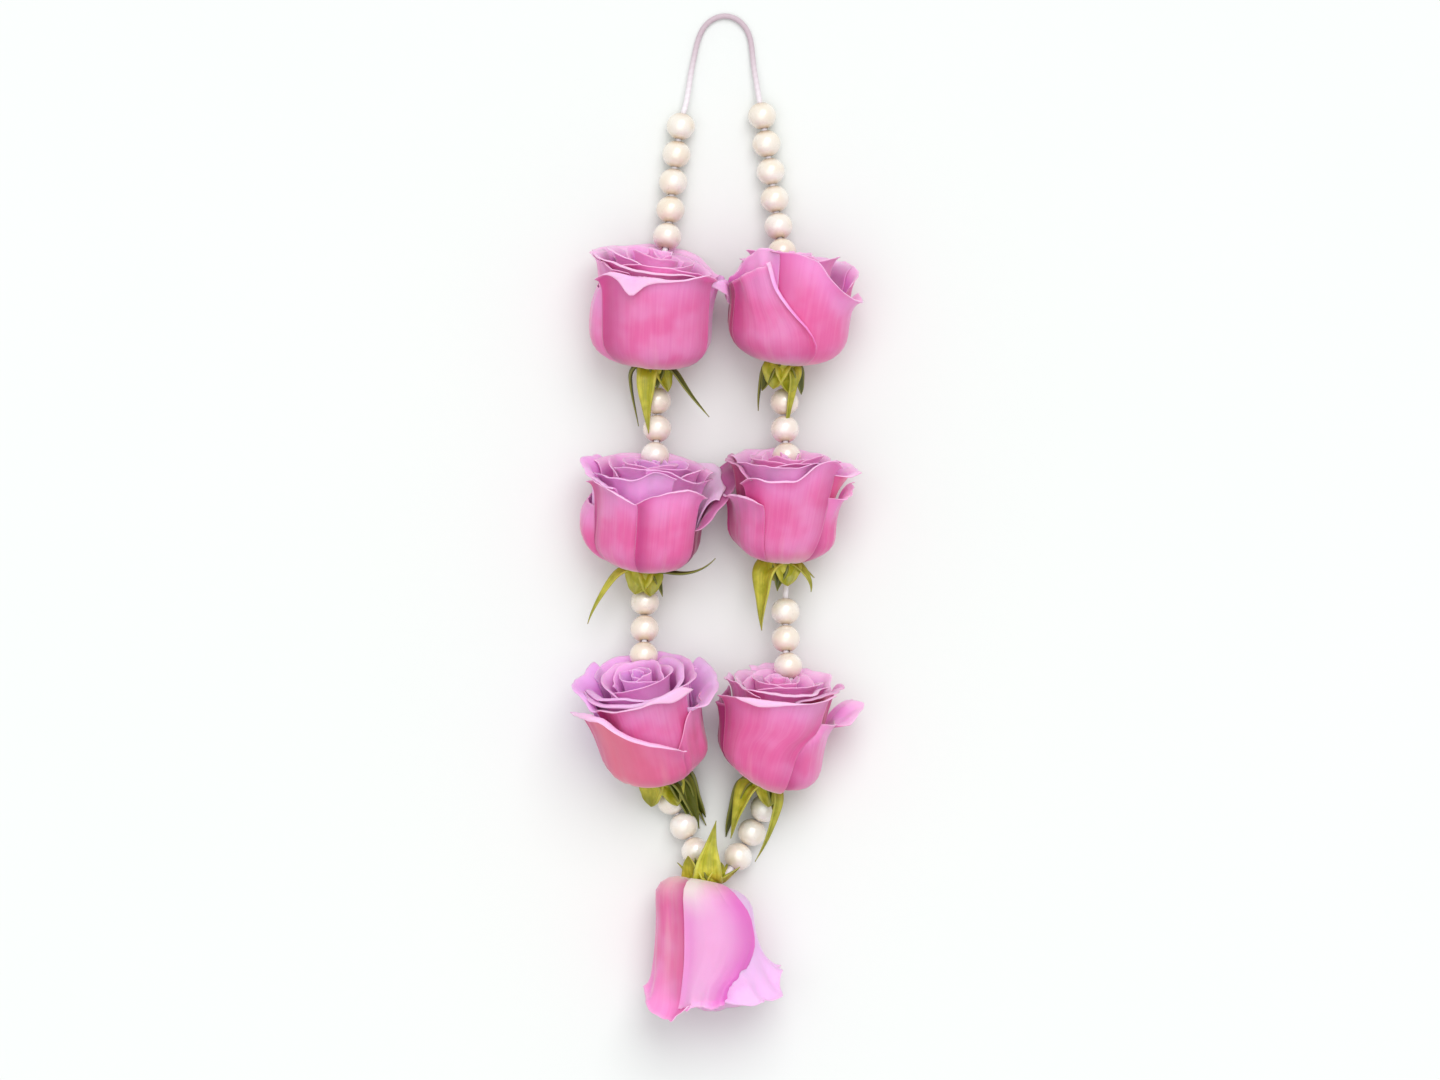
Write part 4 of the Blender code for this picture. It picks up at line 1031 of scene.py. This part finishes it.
def eased(held):
    """How far a petal is held back, easing off round the places where it is."""
    for _ in range(EASE_ROUNDS):
        wide = np.pad(held, 1, mode="edge")
        round_about = wide[:-2, 1:-1] + wide[2:, 1:-1] + wide[1:-1, :-2] + wide[1:-1, 2:]
        held = np.maximum(held, round_about / 4.0)
    return held


def flattened(points, body):
    """The side that the rose lies on is pressed to the same depth, however slim its belly is."""
    radius = np.hypot(points[..., 0], points[..., 1])
    down = np.clip(points[..., 1] / np.maximum(radius, 1e-9), 0.0, None)
    share = 1.0 - (1.0 - (1.0 - FLATTEN) / body) * down**2
    points[..., 0] *= share
    points[..., 1] *= share
    return points


def rose_frame(rose):
    """World matrix of a rose's own frame."""
    lean, tilt = math.radians(rose.lean), math.radians(rose.tilt)
    axis = Vector((-math.sin(lean) * math.cos(tilt), math.cos(lean) * math.cos(tilt), math.sin(tilt)))
    right = Vector((math.cos(lean), math.sin(lean), 0.0))
    away = axis.cross(right)
    turn = Matrix((right, away, axis)).transposed().to_4x4()
    foot = Vector([place * MM for place in rose.foot]) - ORIGIN
    return Matrix.Translation(foot) @ turn


BEAD_ROOM = 0.0006
BEAD_SLOPE = 7.0  # how steeply the petals rise again beside a bead
BEAD_REACH = 0.077  # from a rose's foot to the farthest bead that can sit in its mouth
REST_EASE = 0.0004  # a petal eases down to the surface over this height


def under_beads(points, beads):
    """Press a rose's inner petals down round the beads that sit in its mouth."""
    room = PEARL / 2 + BEAD_ROOM
    for bead in beads:
        away = np.hypot(points[..., 0] - bead.x, points[..., 1] - bead.y)
        within = bead.z - np.sqrt(np.clip(room**2 - away**2, 0.0, None))
        limit = np.where(away < room, within, bead.z + (away - room) * BEAD_SLOPE)
        points[..., 2] = np.minimum(points[..., 2], limit)
    return points


def under_top(points, top):
    """Ease a rose's highest petals down to stay under its top."""
    above = np.clip(points[..., 2] - top + TOP_ROOM, 0.0, None)
    points[..., 2] += TOP_ROOM * np.tanh(above / TOP_ROOM) - above
    return points


def to_world(matrix, points):
    """A piece's own points where they lie in the scene."""
    turn = np.array(matrix.to_3x3())
    return points @ turn.T + np.array(matrix.translation)


def rose_piece(rose, material, beads):
    """All petals of one rose."""
    rng = random.Random(rose.seed)
    place = rose_frame(rose)
    inverse = place.inverted()
    near = [inverse @ bead for bead in beads]
    near = [bead for bead in near if bead.length < BEAD_REACH and bead.z > PEARL]
    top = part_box(f"bloom_{rose.name}")[1][2]
    sleeve, mesh = Sleeve(), Mesh()
    for index, petal in enumerate(rose_petals(rose, rng)):
        theta, radius, height, maps = petal_surface(petal, rose, rng)
        if index >= len(rose.outer):
            maps[..., 0] = INNER_MAP[0] + INNER_MAP[1] * maps[..., 0]
        radius = radius - eased(radius - sleeve.hold(theta, radius, height))
        sleeve.line(theta, radius, height)
        points = np.stack([radius * np.sin(theta), -radius * np.cos(theta), height], axis=2)
        points = under_beads(flattened(points, rose.body), near)
        points = under_top(to_world(place, points), top)
        thickness = SHEET + (RIM_SHEET - SHEET) * smooth((maps[..., 1] - THINNING) / (1.0 - THINNING))
        floor = SURFACE_GAP + thickness / 2
        points[..., 2] += np.clip(floor + REST_EASE - points[..., 2], 0.0, None) * 0.9
        points[..., 2] = np.maximum(points[..., 2], floor)
        add_sheet(mesh, points, maps, thickness, petal.tint)
    piece = mesh.piece(f"rose_{rose.name}", material)
    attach(piece, "root")
    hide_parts(f"bloom_{rose.name}")


# Hips and sepals

HIP_RADIUS = 0.0062
HIP_LENGTH = 0.0090
HIP_SIDES = 40
HIP_PROFILE = ((0.02, -1.0), (0.3, -0.99), (0.62, -0.93), (0.86, -0.78), (0.98, -0.55), (1.0, -0.36),
               (0.93, -0.2), (0.86, -0.1), (0.9, -0.02), (0.6, 0.0), (0.02, 0.0))
HIP_RIBS = 0.03
HIP_SHADE = 0.2
HIP_MAP = 0.3  # a hip is coloured like the lower part of a sepal
SEPAL = 0.0008  # thickness of a sepal at its foot
SEPAL_ROOT = (0.0029, -0.0016)
SEPAL_START = 80.0  # degrees that it leans out where it sets off
ANY_WAVE = 6.28  # the waves of a sepal start anywhere from 0 to this
SEPAL_STEPS = 28
SEPAL_ACROSS = 7


def add_hip(mesh, rose, place):
    """The closed swollen cup below a rose, with faint ribs."""
    length, rows = HIP_LENGTH * rose.hip, len(HIP_PROFILE)
    profile = [(radius * HIP_RADIUS, height * length) for radius, height in HIP_PROFILE]
    points, maps = turned(profile, HIP_SIDES, HIP_RIBS)
    maps[:, 1] = HIP_MAP * maps[:, 1] / rows
    world = to_world(place, points)
    faces = grid_faces(HIP_SIDES, rows, wrap=True)
    mesh.add(world, faces, maps, np.tile((0.0, HIP_SHADE), (len(world), 1)))
    for end, order in ((0, -1), (rows - 1, 1)):
        ring = [side * rows + end for side in range(HIP_SIDES)][::order]
        add_cap(mesh, world[ring], False, 0.1, HIP_SHADE)


def sepal_grid(sepal, rng):
    """A narrow blade, folded along its middle, that turns back along the stem."""
    turn = math.radians(sepal.facing)
    out = np.array((math.sin(turn), -math.cos(turn), 0.0))
    side = np.array((math.cos(turn), math.sin(turn), 0.0))
    up = np.array((0.0, 0.0, 1.0))
    step = sepal.length * MM / SEPAL_STEPS
    radius, height = SEPAL_ROOT
    bend_wave, sway_wave = rng.uniform(0.0, ANY_WAVE), rng.uniform(0.0, ANY_WAVE)
    grid = np.zeros((SEPAL_ACROSS, SEPAL_STEPS + 1, 3))
    for row in range(SEPAL_STEPS + 1):
        share = row / SEPAL_STEPS
        belly = 0.15 * math.sin(math.pi * min(1.0, share * 1.6))
        half = sepal.width * MM / 2 * (1.1 + belly - sepal.taper * share)
        half *= max(0.05, 1.0 - share**sepal.blunt)
        angle = math.radians(SEPAL_START + (sepal.bend - SEPAL_START) * float(smooth((share + 0.1) / 0.45)))
        angle += math.radians(sepal.hook) * share**2
        angle += 0.12 * math.sin(5.0 * share + bend_wave) * share
        drift = sepal.sway * MM * share**2 + 0.0005 * math.sin(4.0 * share + sway_wave) * share
        middle = out * radius + up * height + side * drift
        face = out * math.cos(angle) - up * math.sin(angle)
        for i in range(SEPAL_ACROSS):
            x = 2.0 * i / (SEPAL_ACROSS - 1) - 1.0
            grid[i, row] = middle + side * half * x - face * half * (0.45 * abs(x) ** 1.5 - 0.2)
        radius += step * math.sin(angle)
        height += step * math.cos(angle)
    return grid


def calyx_piece(rose, material):
    """The green hip below a rose, with its sepals."""
    rng = random.Random(rose.seed + 100)
    place = rose_frame(rose)
    mesh = Mesh()
    add_hip(mesh, rose, place)
    for sepal in rose.sepals:
        grid = to_world(place, sepal_grid(sepal, rng))
        columns, rows = grid.shape[:2]
        share = np.linspace(0.0, 1.0, rows)[None, :]
        thickness = np.broadcast_to(SEPAL * (1.0 - 0.6 * share), (columns, rows)).copy()
        need = SURFACE_GAP + SEPAL / 2 - grid[..., 2].min(axis=0)
        grid[..., 2] += np.clip(need, 0.0, None)[None, :]
        across = np.linspace(0.0, 1.0, columns)[:, None]
        maps = np.stack(np.broadcast_arrays(across, share), axis=2)
        add_sheet(mesh, grid, maps, thickness, sepal.shade)
    piece = mesh.piece(f"greens_{rose.name}", material)
    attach(piece, "root")
    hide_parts(f"calyx_{rose.name}")


# Cord and beads


def run_lengths(points):
    """Distance along a run of points at each of them."""
    return np.concatenate([[0.0], np.cumsum(np.linalg.norm(np.diff(points, axis=0), axis=1))])


def cord_curve():
    """Close points along the smooth curve through the cord's route."""
    route = np.array(ROUTE) * MM - np.array(ORIGIN)
    ends = np.vstack([2 * route[0] - route[1], route, 2 * route[-1] - route[-2]])
    dense = []
    for before, start, stop, after in zip(ends, ends[1:], ends[2:], ends[3:]):
        for part in range(CURVE_STEPS):
            t = part / CURVE_STEPS
            dense.append(0.5 * (2 * start + (stop - before) * t
                                + (2 * before - 5 * start + 4 * stop - after) * t * t
                                + (3 * start - before - 3 * stop + after) * t**3))
    return np.array(dense + [route[-1]])


def resampled(points, step):
    """Points at even steps along a run."""
    runs = run_lengths(points)
    marks = np.linspace(0.0, runs[-1], round(runs[-1] / step) + 1)
    return np.stack([np.interp(marks, runs, points[:, axis]) for axis in range(3)], axis=1)


def pearl_spots(points):
    """Name, place and direction of each bead, stepped along the cord by the pitch."""
    runs = run_lengths(points)

    def along(distance):
        return np.array([np.interp(distance, runs, points[:, axis]) for axis in range(3)])

    spots = []
    marks = np.arange(0.0, runs[-1], MM / 2)
    for name, (x, y, count) in PEARL_ROWS.items():
        start = np.array((x, y)) * MM - np.array(ORIGIN)[:2]
        first = min(marks, key=lambda mark: np.linalg.norm(along(mark)[:2] - start))
        for index in range(count):
            at = first + index * PITCH
            low, high = along(at - PEARL * 0.4), along(at + PEARL * 0.4)
            middle = (low + high + along(at) * 2) / 4
            spots.append((f"{name}_{index + 1}", Vector(middle), Vector(high - low).normalized()))
    return spots


CORD_SIDES = 14
CORD_RING = 0.0007
CORD_PITCH = 0.0024  # length of a turn of its strands
CORD_STRANDS = 3
CORD_LOBE = 0.035  # how far its strands stand out, as a share


def cord_piece(points, material):
    """A twisted cord of three strands, as a closed tube."""
    path = resampled(points, CORD_RING)
    runs = run_lengths(path)
    ahead = np.gradient(path, axis=0)
    ahead /= np.linalg.norm(ahead, axis=1, keepdims=True)
    side = np.cross(ahead, (0.0, 0.0, 1.0))
    side /= np.linalg.norm(side, axis=1, keepdims=True)
    up = np.cross(side, ahead)
    rings, maps = [], []
    for index in range(CORD_SIDES + 1):
        turn = math.tau * index / CORD_SIDES
        twist = math.tau * runs / CORD_PITCH / CORD_STRANDS
        lobe = abs(np.cos(CORD_STRANDS / 2.0 * (turn - twist)))
        reach = (CORD / 2 * (1.0 - CORD_LOBE + CORD_LOBE * lobe))[:, None]
        rings.append(path + reach * (side * math.cos(turn) + up * math.sin(turn)))
        round_it = np.full(len(runs), index / CORD_SIDES)
        maps.append(np.stack([round_it, runs / CORD_PITCH * math.tau], axis=1))
    grid = np.array(rings)
    flat = grid.reshape(-1, 3)
    faces = grid_faces(CORD_SIDES + 1, len(path), flip=True)
    mesh = Mesh()
    mesh.add(flat, faces, np.vstack(maps), np.zeros((len(flat), 2)))
    add_cap(mesh, grid[:-1, 0], False, 0.0, 0.0)
    add_cap(mesh, grid[:-1, -1], True, 0.0, 0.0)
    piece = mesh.piece("mauve_cord", material)
    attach(piece, "root")
    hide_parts("cord")


BEAD_SIDES = 40
BEAD_BANDS = 24
BEAD_RIM = 0.00022
BEAD_FIT = 0.995  # share of its length in the part
BORE_FIT = 0.72
BEAD_SWELL = 1.045  # how much broader a pearl is than it is long


def bead_piece(name, place, ahead, material, cream):
    """A round pearl whose hole has a softened rim."""
    half, hole = PEARL / 2 * BEAD_FIT, BEAD_BORE / 2 * BORE_FIT
    start = math.asin((hole + BEAD_RIM) / half)
    profile = []
    for band in range(BEAD_BANDS + 1):
        angle = start + (math.pi - 2.0 * start) * band / BEAD_BANDS
        profile.append((half * math.sin(angle), half * math.cos(angle)))
    top = profile[0][1]
    lead = [(hole, top * 0.4), (hole, top - 2.0 * BEAD_RIM), (hole + 0.3 * BEAD_RIM, top - 0.5 * BEAD_RIM)]
    profile = lead + profile + [(radius, -height) for radius, height in lead[::-1]]
    last = len(profile) - 1
    grid, maps = turned([(BEAD_SWELL * radius, height) for radius, height in profile], BEAD_SIDES)
    maps[:, 1] /= last
    faces = grid_faces(BEAD_SIDES, len(profile), flip=True, wrap=True)
    for side in range(BEAD_SIDES):
        after = (side + 1) % BEAD_SIDES
        low, high = side * len(profile), after * len(profile)
        faces.append([low, high, high + last, low + last])
    matrix = Matrix.Translation(place) @ ahead.to_track_quat("Z", "X").to_matrix().to_4x4()
    points = to_world(matrix, grid)
    mesh = Mesh()
    mesh.add(points, faces, maps, np.tile((0.0, cream), (len(points), 1)))
    piece = mesh.piece(f"bead_{name}", material)
    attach(piece, "root")
    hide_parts(f"pearl_{name}")


FLOOR_HALF = 1.6


def floor_piece(material):
    """The pale surface that the necklace lies on."""
    corners = [(x * FLOOR_HALF, y * FLOOR_HALF, 0) for x, y in ((-1, -1), (1, -1), (1, 1), (-1, 1))]
    mesh = bpy.data.meshes.new("Floor")
    mesh.from_pydata(corners, [], [(0, 1, 2, 3)])
    mesh.materials.append(material)
    floor = bpy.data.objects.new("Floor", mesh)
    bpy.context.scene.collection.objects.link(floor)


BEAD_SEED = 5
PALE_BEADS, CREAM_BEADS = (0.0, 0.3), (0.45, 1.0)  # how creamy the lowest beads are, and the others


def build():
    """The whole scene, from the cord to the petals."""
    set_camera()
    curve = cord_curve()
    cord_piece(curve, cord_paint())
    set_light()
    floor_piece(floor_paint())
    spots = pearl_spots(resampled(curve, CORD_STEP))
    pearl, petal, green = pearl_paint(), petal_paint(), green_paint()
    rng = random.Random(BEAD_SEED)
    for name, place, ahead in spots:
        cream = rng.uniform(*(PALE_BEADS if "foot" in name else CREAM_BEADS))
        bead_piece(name, place, ahead, pearl, cream)
    beads = [place for _, place, _ in spots]
    for rose in ROSES:
        rose_piece(rose, petal, beads)
        calyx_piece(rose, green)


build()
